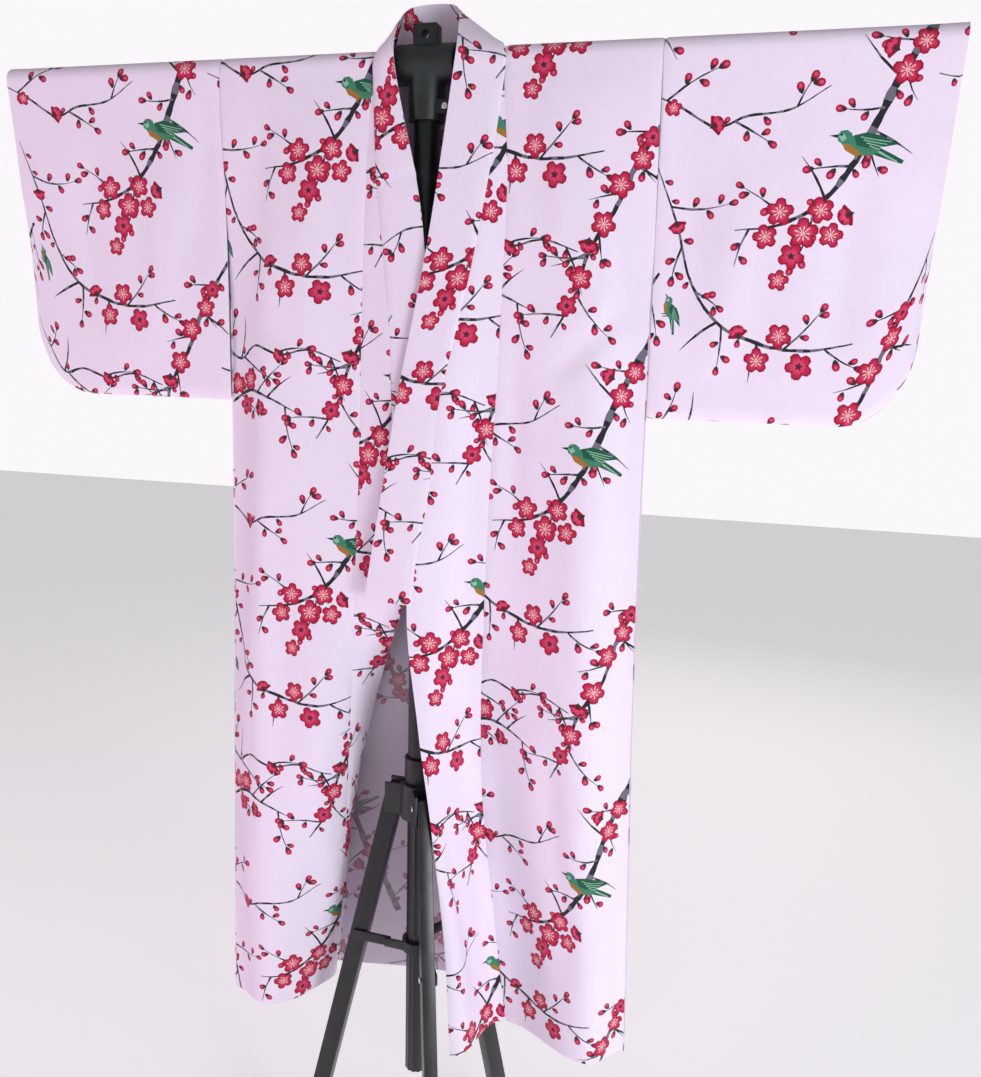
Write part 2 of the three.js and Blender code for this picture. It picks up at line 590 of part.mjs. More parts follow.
function addLegs() {
  const { leg, shoe } = legSolids();
  const braceX = pivotRadius + legSlope * (pivotZ - braceZ);
  const braceY = legWidth / 2 + slipGap + braceThickness / 2;
  const pin = (x, y, z) => new THREE.CylinderGeometry(screwRadius, screwRadius, 3, 14).translate(x, y, z);
  for (const [name, angle] of Object.entries(legAngles)) {
    addPart(`leg_${name}`, turned(toGeometry(leg), angle), "metal");
    addPart(`foot_${name}`, turned(toGeometry(shoe), angle), "rubber");
    const cheekFace = -(legWidth / 2 + slipGap + cheekThickness + slipGap + 1.5);
    addPart(`hub_screw_${name}`, turned(pin(pivotRadius, cheekFace, pivotZ), angle), "chrome");
    const legFace = -(legWidth / 2 + slipGap + 1.5);
    addPart(`leg_screw_${name}`, turned(pin(braceX, legFace, braceZ), angle), "chrome");
    const outer = braceX + 7;
    const middle = (outer + braceInner) / 2;
    const brace = box(outer - braceInner, braceThickness, braceHeight, middle, braceY, braceZ);
    addPart(`brace_${name}`, turned(brace, angle), "metal");
  }
}
addLegs();

// Runner: the ring on the column whose lugs carry the inner ends of the braces
function addRunner() {
  const low = braceZ - runnerHeight / 2;
  const high = braceZ + runnerHeight / 2;
  let solid = toSolid(upright(runnerRadius, low, high));
  const lugY = legWidth / 2 + slipGap + braceThickness + slipGap + 2;
  for (const angle of Object.values(legAngles)) {
    const lug = box(lugReach - 12, 4, 14, (lugReach + 12) / 2, lugY, braceZ);
    solid = solid.add(toSolid(turned(lug, angle)));
  }
  solid = solid.subtract(toSolid(upright(columnRadius + slipGap, low - 2, high + 2)));
  addPart("runner", toGeometry(solid), "plastic");
}
addRunner();

export default root;
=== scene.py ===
# A cotton yukata with a plum and bird print, spread on a black folding stand
import json
import math
import random

import bpy
import numpy as np
from mathutils import Matrix
from mathutils.geometry import delaunay_2d_cdt

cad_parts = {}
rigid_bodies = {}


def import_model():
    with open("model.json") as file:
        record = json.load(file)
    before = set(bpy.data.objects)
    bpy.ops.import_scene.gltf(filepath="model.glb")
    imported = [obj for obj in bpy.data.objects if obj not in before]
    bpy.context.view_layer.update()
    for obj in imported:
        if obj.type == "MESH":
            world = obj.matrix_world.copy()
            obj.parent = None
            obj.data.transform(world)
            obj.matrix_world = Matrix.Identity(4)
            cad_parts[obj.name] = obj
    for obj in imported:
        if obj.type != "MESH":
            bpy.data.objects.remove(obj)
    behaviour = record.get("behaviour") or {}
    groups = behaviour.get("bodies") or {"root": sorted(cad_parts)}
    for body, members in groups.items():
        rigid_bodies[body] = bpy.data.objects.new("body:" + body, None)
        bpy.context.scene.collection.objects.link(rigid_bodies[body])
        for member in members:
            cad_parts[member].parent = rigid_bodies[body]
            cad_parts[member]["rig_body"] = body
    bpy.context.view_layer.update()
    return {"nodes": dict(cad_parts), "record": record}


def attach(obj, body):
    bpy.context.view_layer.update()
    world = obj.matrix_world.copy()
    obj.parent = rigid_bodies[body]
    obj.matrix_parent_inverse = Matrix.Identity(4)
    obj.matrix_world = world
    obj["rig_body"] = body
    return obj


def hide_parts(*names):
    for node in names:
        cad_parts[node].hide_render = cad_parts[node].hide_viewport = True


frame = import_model()
bpy.ops.object.select_all(action="DESELECT")
print("frame loaded")

# The print: one repeat of the bolt in mm, x across and y down, drawn as flat shapes
printSet = dict(
    repeat=(360, 640), seed=11, step=11.5, copies=(3, 5), margin=90, smallSpot=1.7, branchWidth=1.4,
    budSize=(4.2, 5.4), smallBudSize=(3.6, 4.8), petalFade=(0.22, 0.62),
    ground="#f1e3f5", rim="#94082f", petalIn="#dc4a72", petalOut="#bd1240", heart="#efa9b8",
    stamen="#f6d2c6", bud="#b3103a", budLight="#d84f72", calyx="#3a2c36",
    branch="#6e6e78", branchDark="#26262c",
    green="#3f8468", greenDark="#215a44", greenLight="#8fbfa4", ochre="#a8742c", eye="#1b1b1e",
)


def linear(text):
    channels = [int(text[i:i + 2], 16) / 255 for i in (1, 3, 5)]
    return np.array([c / 12.92 if c < 0.04045 else ((c + 0.055) / 1.055) ** 2.4 for c in channels])


inks = {name: linear(value) for name, value in printSet.items() if isinstance(value, str)}


def turnedBy(points, x, y, turn):
    c, s = math.cos(turn), math.sin(turn)
    return [(x + p * c - q * s, y + p * s + q * c) for p, q in points]


def addShape(shapes, points, ink, centre=(0, 0), radius=1):
    shapes.append((np.array(points, dtype=float), ink, centre, radius))


def spot(shapes, x, y, r, ink, count=8, turn=0.0, stretch=1.0, centre=(0, 0), radius=1):
    angles = np.linspace(0, 2 * math.pi, 6 if r < printSet["smallSpot"] else count, endpoint=False)
    ring = [(r * stretch * math.cos(a), r * math.sin(a)) for a in angles]
    addShape(shapes, turnedBy(ring, x, y, turn), ink, centre, radius)


def blossom(shapes, x, y, r, turn, kind="front"):
    lobes = []
    for k in range(20):
        a = math.radians(k * 18)
        reach = r * (0.68 + 0.32 * abs(math.cos(a * 2.5)) ** 0.55)
        lobes.append((reach * math.cos(a), reach * math.sin(a)))
    addShape(shapes, turnedBy(lobes, x, y, turn), "rim")
    for k in range(5):
        a = turn + math.radians(k * 72)
        px, py = x + 0.54 * r * math.cos(a), y + 0.54 * r * math.sin(a)
        spot(shapes, px, py, 0.31 * r, "petal", 8, a, 1.18, (x, y), r)
    if kind == "back":  # five dark sepals behind the flower
        star = []
        for k in range(10):
            reach = (0.34 if k % 2 else 0.1) * r
            star.append((reach * math.cos(k * 0.628), reach * math.sin(k * 0.628)))
        addShape(shapes, turnedBy(star, x, y, turn), "calyx")
        return
    spot(shapes, x, y, 0.17 * r, "heart", 7, turn)
    for k in range(9):
        a = turn + 0.2 + k * 0.698
        reach = r * (0.5 if k % 2 else 0.4)
        thread = [(0.16 * r, -0.02 * r), (reach, -0.045 * r), (reach + 0.05 * r, 0),
                  (reach, 0.045 * r), (0.16 * r, 0.02 * r)]
        addShape(shapes, turnedBy(thread, x, y, a), "stamen")


def sideBlossom(shapes, x, y, r, turn):
    fan = [(-0.45 * r, -0.12 * r)]
    for k in range(13):
        a = math.radians(-100 + k * 200 / 12)
        reach = r * (0.72 + 0.28 * abs(math.cos(a * 1.35)) ** 0.6)
        fan.append((reach * 0.8 * math.cos(a), reach * math.sin(a)))
    fan.append((-0.45 * r, 0.12 * r))
    addShape(shapes, turnedBy(fan, x, y, turn), "rim")
    for a in (-0.95, 0.0, 0.95):
        px, py = turnedBy([(0.4 * r * math.cos(a), 0.55 * r * math.sin(a))], x, y, turn)[0]
        spot(shapes, px, py, 0.25 * r, "petal", 7, turn + a, 1.2, (x, y), r * 1.1)
    cup = [(-0.62 * r, 0), (-0.3 * r, -0.24 * r), (0.02 * r, -0.1 * r), (0.02 * r, 0.1 * r),
           (-0.3 * r, 0.24 * r)]
    addShape(shapes, turnedBy(cup, x, y, turn), "calyx")


def bud(shapes, x, y, r, turn):
    spot(shapes, x, y, r, "bud", 9, turn, 1.18)
    px, py = x + 0.2 * r * math.cos(turn), y + 0.2 * r * math.sin(turn)
    spot(shapes, px, py, 0.45 * r, "budLight", 6, turn, 1.3)
    cup = [(-1.75 * r, -0.14 * r), (-1.05 * r, -0.7 * r), (-0.45 * r, -0.62 * r), (-0.7 * r, 0),
           (-0.45 * r, 0.62 * r), (-1.05 * r, 0.7 * r), (-1.75 * r, 0.14 * r)]
    addShape(shapes, turnedBy(cup, x, y, turn), "calyx")


def alongPath(path, spacing):
    points = np.array(path, dtype=float)
    ends = np.vstack([2 * points[0] - points[1], points, 2 * points[-1] - points[-2]])
    out = []
    for i in range(len(points) - 1):
        p0, p1, p2, p3 = ends[i:i + 4]
        count = max(int(np.linalg.norm(p2 - p1) / spacing), 1)
        for f in np.arange(count) / count:
            out.append(0.5 * (2 * p1 + (p2 - p0) * f + (2 * p0 - 5 * p1 + 4 * p2 - p3) * f * f
                              + (3 * p1 - p0 - 3 * p2 + p3) * f ** 3))
    return np.array(out + [points[-1]])


def ribbon(shapes, path, widths, rng, spacing=8):
    middle = alongPath(path, spacing)
    share = np.linspace(0, 1, len(middle))
    width = printSet["branchWidth"] * np.interp(share, np.linspace(0, 1, len(widths)), widths)
    slope = np.gradient(middle, axis=0)
    side = np.stack([-slope[:, 1], slope[:, 0]], 1) / np.maximum(np.linalg.norm(slope, axis=1), 1e-6)[:, None]
    jitter = np.array([[rng.uniform(0.7, 1.25), rng.uniform(0.7, 1.25)] for _ in middle])
    left = middle + side * (width * jitter[:, 0] / 2)[:, None]
    right = middle - side * (width * jitter[:, 1] / 2)[:, None]
    dark = False
    for i in range(len(middle) - 1):
        dark = rng.random() < (0.45 if dark else 0.75)
        addShape(shapes, [left[i], left[i + 1], right[i + 1], right[i]], "branchDark" if dark else "branch")
    return middle


def twig(shapes, late, x, y, turn, length, rng, buds=True, width=2.2):
    bend = rng.uniform(-0.5, 0.5)
    path = [(x, y)]
    for k in range(1, 4):
        a = turn + bend * k / 3
        path.append((path[-1][0] + length / 3 * math.cos(a), path[-1][1] + length / 3 * math.sin(a)))
    ribbon(shapes, path, (width, width * 0.8, 0.5), rng)
    tip = turn + bend
    if not buds:
        return
    side = rng.choice((-1, 1))
    for share in np.arange(0.35, 0.95, 17 / length):
        i = int(share * 3)
        start, end = np.array(path[i]), np.array(path[i + 1])
        p = start + (share * 3 - i) * (end - start)
        a = tip + side * rng.uniform(0.7, 1.2)
        r = rng.uniform(*printSet["budSize"])
        bud(late, p[0] + 2.3 * r * math.cos(a), p[1] + 2.3 * r * math.sin(a), r, a)
        side = -side
    if rng.random() < 0.65:
        px, py = path[-1][0] + 4 * math.cos(tip), path[-1][1] + 4 * math.sin(tip)
        bud(late, px, py, rng.uniform(*printSet["budSize"]), tip)


def bird(shapes, x, y, size, turn):
    def put(points, ink):
        addShape(shapes, turnedBy([(p * size, q * size) for p, q in points], x, y, turn), ink)
    put([(12, -3), (36, 4), (58, 12), (57, 17), (34, 13), (8, 9)], "greenDark")
    put([(14, 1), (50, 14), (49, 15.5), (12, 4)], "greenLight")
    angles = np.linspace(0, 2 * math.pi, 16, endpoint=False)
    put([(-6 + 27 * math.cos(a), 2 + 12.5 * math.sin(a)) for a in angles], "green")
    put([(-33, 5), (-22, 4), (-8, 9), (2, 15), (-10, 17), (-25, 13)], "ochre")
    put([(-31 + 11 * math.cos(a), -4 + 10 * math.sin(a)) for a in angles[::2]], "green")
    put([(-40, -3), (-34, -8), (-28, -3), (-33, 3)], "greenLight")
    put([(-41, -5.5), (-53, -1), (-41, -0.5)], "eye")
    put([(-36.5 + 1.8 * math.cos(a), -6 + 1.8 * math.sin(a)) for a in angles[::3]], "eye")
    put([(-20, -9), (-4, -17), (16, -17), (44, -9), (26, -3), (8, 3), (-12, 3)], "greenDark")
    for k in range(4):
        put([(-10 + 5 * k, -10 + 3 * k), (32 - 4 * k, -11 + 4 * k), (32 - 4 * k, -9.8 + 4 * k),
             (-10 + 5 * k, -8.4 + 3 * k)], "greenLight")
    put([(-4, 14), (-1, 14), (-4, 24), (-7, 26)], "eye")
    put([(3, 13), (6, 13), (4, 23), (1, 26)], "eye")


# Branches: path, widths, and how many twigs grow from them
branches = [
    dict(path=[(356, -26), (326, 36), (296, 88), (274, 140), (248, 192), (214, 236), (164, 262), (112, 268)],
         widths=(8, 8.5, 7.5, 7, 6, 5, 3, 1), twigs=9),
    dict(path=[(378, 322), (344, 372), (310, 428), (284, 484), (250, 536), (234, 590), (200, 648)],
         widths=(2.5, 4, 5, 5, 4, 3, 1.4), twigs=8),
    dict(path=[(-22, 92), (32, 116), (80, 142), (120, 130), (170, 124), (216, 98)],
         widths=(1, 2, 2.6, 2.4, 1.8, 0.8), twigs=3),
    dict(path=[(10, 190), (38, 262), (58, 330), (96, 384), (150, 410), (208, 418), (268, 408)],
         widths=(0.8, 2, 2.4, 3, 3.6, 3, 1.2), twigs=6),
    dict(path=[(-18, 506), (28, 520), (60, 536), (98, 516), (142, 528), (188, 520), (236, 536)],
         widths=(1.4, 2.8, 2.8, 2.4, 2.2, 1.8, 1), twigs=4),
    dict(path=[(14, 636), (44, 600), (84, 582), (122, 590), (166, 610)], widths=(1, 3, 3.6, 2.6, 1), twigs=4),
]
# Bare twigs: x, y, direction and length
thorns = [
    (300, 96, -2.5, 74), (268, 150, 0.4, 60), (222, 236, -1.9, 66), (150, 410, 1.9, 52),
    (96, 384, 2.7, 60), (312, 428, 0.3, 58), (252, 536, 2.6, 56), (60, 536, -1.1, 62),
    (188, 520, 1.0, 48), (122, 590, -0.9, 50),
]
# Blossoms: x, y, radius, and 0 from the front, 1 from behind or 2 from the side
flowers = [
    (166, 246, 18, 0), (196, 272, 20, 0), (216, 244, 17, 0), (230, 274, 16, 0), (184, 300, 17, 1),
    (150, 276, 16, 0), (248, 250, 15, 2), (170, 330, 14, 0), (176, 400, 17, 0), (150, 432, 17, 0),
    (204, 438, 18, 1), (124, 398, 14, 2), (318, 418, 16, 0), (292, 450, 18, 0), (270, 500, 18, 0),
    (250, 526, 15, 2), (240, 570, 17, 0), (222, 606, 15, 1), (320, 52, 16, 0), (302, 84, 18, 0),
    (284, 58, 14, 2), (52, 574, 17, 0), (84, 566, 17, 0), (74, 604, 16, 1), (106, 606, 14, 2),
    (80, 140, 14, 2), (26, 118, 11, 0), (38, 262, 13, 2), (142, 528, 13, 2), (330, 392, 14, 1),
]


def makeRepeat():
    rng = random.Random(printSet["seed"])
    early, late = [], []
    for branch in branches:
        line = ribbon(early, branch["path"], branch["widths"], rng)
        for k in range(branch["twigs"]):
            i = int((k + rng.uniform(0.3, 0.8)) / branch["twigs"] * (len(line) - 2)) + 1
            heading = math.atan2(*(line[i] - line[i - 1])[::-1])
            side = 1 if k % 2 else -1
            twig(early, late, *line[i], heading + side * rng.uniform(0.6, 1.2), rng.uniform(34, 78), rng)
        for i in range(2, len(line) - 2, 3):
            if rng.random() < 0.45:
                heading = math.atan2(*(line[i] - line[i - 1])[::-1])
                heading += rng.choice((-1, 1)) * rng.uniform(0.9, 1.4)
                r = rng.uniform(*printSet["smallBudSize"])
                px, py = line[i][0] + 2.6 * r * math.cos(heading), line[i][1] + 2.6 * r * math.sin(heading)
                bud(late, px, py, r, heading)
    for x, y, turn, length in thorns:
        twig(early, late, x, y, turn, length, rng, buds=False, width=2.6)
    for x, y, r, kind in flowers:
        turn = rng.uniform(0, 6.28)
        if kind == 2:
            sideBlossom(late, x, y, r, turn)
        else:
            blossom(late, x, y, r, turn, "back" if kind else "front")
    bird(late, 262, 168, 0.86, 0.25)
    bird(late, 36, 372, 0.5, 1.2)
    return early + late


repeatShapes = makeRepeat()
print("print drawn:", len(repeatShapes), "shapes")


# How the cloth hangs, in mm; drop is measured down from the fold over the bar
drapeSet = dict(
    foldZ=1820, foldRadius=18.8, shiftY=3.68, halfBack=313, length=1482, blendDrop=40, panelRidge=0.36,
    sideSeamTop=380, closedSide=0.6, neckDepth=35, centreGap=0.05, flapTurn=30, mastX=-8, teeHalf=44,
    teePush=15, teeReach=34, teeFade=16, pushDrop=110, pushFade=140,
)
sleeveSet = dict(width=357, drop=484, taper=28, corner=105, start=0.4, onBar=0.12, bottomRound=14, thin=0.5,
                 swing=5, swingTurn=5, swingStart=0.6)
collarSet = dict(inset=3, forward=2.6, tuck=0.045,
                 drops=[765, 690, 610, 530, 450, 370, 290, 220, 150, 90, 40, 16])
overFront = dict(
    drop=[0, 60, 160, 300, 430, 600, 765, 950, 1100, 1300, 1482],
    sideX=[313, 313, 313, 313, 313, 313, 314, 316, 319, 323, 326],
    sideY=[0, 0, 0, 0, 0, 2, 5, 10, 17, 27, 37],
    ridgeX=[235, 235, 235, 235, 238, 242, 245, 250, 256, 265, 273],
    ridgeY=[-19, -21, -26, -30, -32, -35, -37, -35, -30, -21, -12],
    seamX=[104, 107, 114, 111, 106, 96, 89, 82, 85, 106, 128],
    seamY=[-19, -21, -22, -22, -18, -10, 2, 22, 34, 44, 50],
    edgeX=[104, 99, 86, 62, 34, 11, -14, 8, 31, 56, 66],
    edgeY=[-19, -22, -28, -36, -41, -44, -47, -55, -59, -59, -56],
    turn=[0] * 11)
underFront = dict(
    drop=[0, 60, 160, 300, 430, 600, 700, 765, 860, 950, 1100, 1300, 1482],
    sideX=[-313, -313, -313, -313, -314, -316, -318, -319, -321, -324, -328, -333, -338],
    sideY=[0, 0, 0, 0, 0, 0, 0, 0, 1, 1, 2, 2, 2],
    ridgeX=[-235, -235, -235, -235, -236, -240, -243, -245, -247, -250, -256, -262, -268],
    ridgeY=[-19, -21, -26, -30, -32, -35, -37, -39, -41, -42, -41, -35, -27],
    seamX=[-76, -81, -88, -93, -96, -100, -104, -107, -113, -120, -136, -158, -188],
    seamY=[-19, -21, -23, -24, -24, -24, -24, -22, -14, -4, 20, 50, 78],
    edgeX=[-76, -73, -66, -52, -46, -41, -34, -26, -66, -106, -150, -198, -238],
    edgeY=[-19, -22, -27, -29, -30, -30, -31, -31, 14, 68, 95, 104, 102],
    turn=[0, 0, 0, 0, 0, 0, 0, 0, 35, 62, 75, 70, 62])
backDrape = dict(
    drop=[0, 160, 430, 765, 950, 1100, 1300, 1482], ridgeX=[200, 200, 205, 215, 225, 235, 250, 258],
    ridgeY=[19, 26, 36, 54, 82, 106, 119, 119], centreY=[19, 24, 34, 62, 95, 119, 140, 151])
backNeck = dict(behind=[0, 9, 18, 27, 35], over=[104, 95, 74, 38, 0.1], under=[-76, -71, -58, -32, -0.1])
overCollarEdge = dict(
    drop=[16, 150, 270, 460, 600, 765], x=[43, 25, 6, -31, -54, -81], y=[-31, -36, -41, -45, -47, -48],
    low=[6, 144, 272, 462, 603, 763])
underCollarEdge = dict(
    drop=[16, 63, 121, 180, 252, 430, 600, 765], x=[-45, -38, -21, -10, 2, 9, 12, 8],
    y=[-32, -32, -32, -32, -32, -34, -36, -38], low=[2, 58, 120, 180, 252, 430, 600, 760])
neckCollar = [  # seam x, y, drop and free edge x, y, drop
    (101, -12, -1, 40, -14, -22), (98, 6, -1, 34, 8, -46), (80, 22, 5, 22, 30, -62), (44, 39, 17, 6, 44, -69),
    (0, 39, 24, -12, 49, -71), (-36, 37, 18, -30, 44, -69), (-62, 29, 5, -43, 30, -62),
    (-75, 12, -1, -48, 8, -46), (-74, -12, -1, -47, -18, -22)]
sleeveDepth = dict(drop=[19, 90, 170, 260, 400, 484], inner=[18.8, 15, 11, 7, 6, 5],
                   middle=[18.8, 15, 13, 11, 9, 6], cuff=[18.8, 14, 10, 1.5, 1.5, 1.5])


# Points at x and y, and a drop below the fold
def hang(x, y, drop):
    return np.stack([x, y, drapeSet["foldZ"] - drop], -1)


def unit(f):
    return np.clip(f, 0, 1)


def ease(f):
    return f * f * (3 - 2 * f)


# A table's value at any drop, smooth through its entries
def track(table, name, at, key="drop"):
    k, v = np.array(table[key], dtype=float), np.array(table[name], dtype=float)
    slope = np.empty_like(v)
    slope[1:-1] = (v[2:] - v[:-2]) / (k[2:] - k[:-2])
    slope[0], slope[-1] = (v[1] - v[0]) / (k[1] - k[0]), (v[-1] - v[-2]) / (k[-1] - k[-2])
    at = np.clip(at, k[0], k[-1])
    i = np.searchsorted(k[1:-1], at, side="left")
    span = k[i + 1] - k[i]
    f = (at - k[i]) / span
    return (v[i] * (1 + 2 * f) * (1 - f) ** 2 + slope[i] * span * f * (1 - f) ** 2
            + v[i + 1] * f * f * (3 - 2 * f) + slope[i + 1] * span * f * f * (f - 1))


def overBar(length):
    radius = drapeSet["foldRadius"]
    quarter = radius * math.pi / 2
    angle = np.minimum(length, quarter) / radius
    return angle, radius * (1 - np.cos(angle)) + np.maximum(length - quarter, 0)


def lengthAt(drop):
    return drop - drapeSet["foldRadius"] + drapeSet["foldRadius"] * math.pi / 2


def sideDepth(drop):
    closed = drapeSet["closedSide"]
    f = unit((drop - drapeSet["foldRadius"]) / (drapeSet["sideSeamTop"] - drapeSet["foldRadius"]))
    return closed + (drapeSet["foldRadius"] - closed) * (1 - ease(f))


def arc(a, b, leaving, arriving, f):
    third = np.hypot(b[0] - a[0], b[1] - a[1]) / 3
    out = []
    for i in (0, 1):
        c, d = a[i] + leaving[i] * third, b[i] - arriving[i] * third
        out.append(a[i] * (1 - f) ** 3 + 3 * c * f * (1 - f) ** 2 + 3 * d * f * f * (1 - f) + b[i] * f ** 3)
    return out


def across(s, side, ridge, inner, arriving):
    level, ridgeAt = (np.sign(inner[0] - side[0]), 0), drapeSet["panelRidge"]
    first = arc(side, ridge, level, level, np.minimum(s / ridgeAt, 1))
    second = arc(ridge, inner, level, arriving, np.maximum((s - ridgeAt) / (1 - ridgeAt), 0))
    return [np.where(s < ridgeAt, first[i], second[i]) for i in (0, 1)]


def seamDirection(table, drop):
    turn = np.radians(track(table, "turn", drop))
    return [-np.sign(table["sideX"][0]) * np.cos(turn), np.sin(turn)]


def frontPoint(table, s, length):
    angle, drop = overBar(length)
    side = [track(table, "sideX", drop), track(table, "sideY", drop) - sideDepth(drop)]
    seam = [track(table, "seamX", drop), track(table, "seamY", drop)]
    ridge = [track(table, "ridgeX", drop), track(table, "ridgeY", drop)]
    x, hanging = across(s, side, ridge, seam, seamDirection(table, drop))
    onBar = -drapeSet["foldRadius"] * np.sin(angle)
    blend = ease(unit((drop - drapeSet["foldRadius"]) / drapeSet["blendDrop"]))
    return hang(x, onBar + (hanging - onBar) * blend, drop)


def backPoint(table, s, length):
    angle, drop = overBar(length)
    outward = np.sign(table["sideX"][0])
    neck = track(backNeck, "over" if outward > 0 else "under", length, "behind")
    inner = np.where(length < drapeSet["neckDepth"], neck, outward * drapeSet["centreGap"])
    side = [track(table, "sideX", drop), track(table, "sideY", drop) + sideDepth(drop)]
    ridge = [outward * track(backDrape, "ridgeX", drop), track(backDrape, "ridgeY", drop)]
    x, hanging = across(s, side, ridge, [inner, track(backDrape, "centreY", drop)], [-outward, 0])
    onBar = drapeSet["foldRadius"] * np.sin(angle)
    blend = ease(unit((drop - drapeSet["foldRadius"]) / drapeSet["blendDrop"]))
    fromTee = drapeSet["teeHalf"] + drapeSet["teeReach"] - np.abs(x - drapeSet["mastX"])
    beside = ease(unit(fromTee / drapeSet["teeFade"]))
    above = 1 - ease(unit((drop - drapeSet["pushDrop"]) / drapeSet["pushFade"]))
    push = drapeSet["teePush"] * beside * above * np.sin(angle) ** 2
    return hang(x, onBar + (hanging - onBar) * blend + push, drop)


def bodyPoint(table):
    def point(s, length):
        front, back = frontPoint(table, s, np.abs(length)), backPoint(table, s, np.abs(length))
        return np.where((length >= 0)[:, None], front, back)
    return point


def okumiPoint(table):
    def point(s, drop):
        seam = [track(table, "seamX", drop), track(table, "seamY", drop)]
        edge = [track(table, "edgeX", drop), track(table, "edgeY", drop)]
        start = seamDirection(table, drop)
        chord = np.maximum(np.hypot(edge[0] - seam[0], edge[1] - seam[1]), 1e-6)
        turned = unit(track(table, "turn", drop) / drapeSet["flapTurn"])
        level = [np.where(start[0] > 0, 1, -1), 0]
        end = [level[i] * (1 - turned) + (edge[i] - seam[i]) / chord * turned for i in (0, 1)]
        x, y = arc(seam, edge, start, end, s)
        return hang(x, y, drop)
    return point


def sleevePoint(outward):
    def point(s, around):
        width, corner, low = sleeveSet["width"], sleeveSet["corner"], sleeveSet["drop"]
        reach = width * s
        pastCorner = np.maximum(reach - (width - corner), 0) / corner
        bottom = low - corner * (1 - np.sqrt(np.maximum(1 - pastCorner ** 2, 0)))
        f = np.abs(1 - 2 * around)
        quarter, radius = sleeveSet["onBar"], drapeSet["foldRadius"]
        onBar = f <= quarter
        angle = np.minimum(f / quarter, 1) * math.pi / 2
        hanging = radius + (f - quarter) / (1 - quarter) * (bottom - radius)
        drop = np.where(onBar, radius * (1 - np.cos(angle)), hanging)
        lower = np.maximum(drop, radius)
        toMiddle = ease(1 - np.minimum(np.abs(s - 0.5) * 2, 1))
        end = np.where(s < 0.5, track(sleeveDepth, "inner", lower), track(sleeveDepth, "cuff", lower))
        depth = end + (track(sleeveDepth, "middle", lower) - end) * toMiddle
        depth = np.where(onBar, radius * np.sin(angle), depth)
        toBottom = unit(1 - (bottom - drop) / sleeveSet["bottomRound"])
        thin = sleeveSet["thin"]
        depth = thin + (depth - thin) * np.sqrt(np.maximum(1 - toBottom ** 2, 0))
        wave = np.sin(s * sleeveSet["swingTurn"] + sleeveSet["swingStart"] * outward)
        y = np.where(around < 0.5, -depth, depth) + sleeveSet["swing"] * wave * ease(drop / low)
        x = drapeSet["halfBack"] + sleeveSet["start"] + reach - sleeveSet["taper"] * s ** 3 * (drop / low)
        return hang(outward * x, y, drop)
    return point


# A smooth line through points, as a function from 0 to 1
def smoothLine(points):
    points = np.array(points, dtype=float)
    ends = np.vstack([2 * points[0] - points[1], points, 2 * points[-1] - points[-2]])
    last = len(points) - 1

    def at(t):
        p = np.clip(t, 0, 1) * last
        i = np.minimum(p.astype(int), last - 1)
        f = (p - i)[:, None]
        p0, p1, p2, p3 = (ends[i + k] for k in range(4))
        pairs = ((p0, p1), (p1, p2), (p2, p3))
        d0, d1, d2 = [np.maximum(np.sqrt(np.linalg.norm(b - a, axis=1)), 1e-4)[:, None] for a, b in pairs]
        t1 = ((p1 - p0) / d0 - (p2 - p0) / (d0 + d1) + (p2 - p1) / d1) * d1
        t2 = ((p2 - p1) / d1 - (p3 - p1) / (d1 + d2) + (p3 - p2) / d2) * d1
        return p1 + t1 * f + (-3 * p1 + 3 * p2 - 2 * t1 - t2) * f ** 2 + (2 * p1 - 2 * p2 + t1 + t2) * f ** 3
    return at


def collarLines():
    drops = np.array(collarSet["drops"], dtype=float)
    sides = []
    for table, edge in ((overFront, overCollarEdge), (underFront, underCollarEdge)):
        seamX = track(table, "edgeX", drops) + np.sign(table["sideX"][0]) * collarSet["inset"]
        seamY = track(table, "edgeY", drops) - collarSet["forward"]
        free = [track(edge, name, drops) for name in ("x", "y", "low")]
        sides.append((hang(seamX, seamY, drops), hang(*free)))
    neck = np.array(neckCollar, dtype=float).T
    seam = np.vstack([sides[0][0], hang(*neck[:3]), sides[1][0][::-1]])
    free = np.vstack([sides[0][1], hang(*neck[3:]), sides[1][1][::-1]])
    return smoothLine(seam), smoothLine(free)


seamLine, freeLine = collarLines()


def collarPoint(s, along):
    s = s * (1 + collarSet["tuck"]) - collarSet["tuck"]  # the sewn edge reaches under the seam
    return seamLine(along) * (1 - s)[:, None] + freeLine(along) * s[:, None]
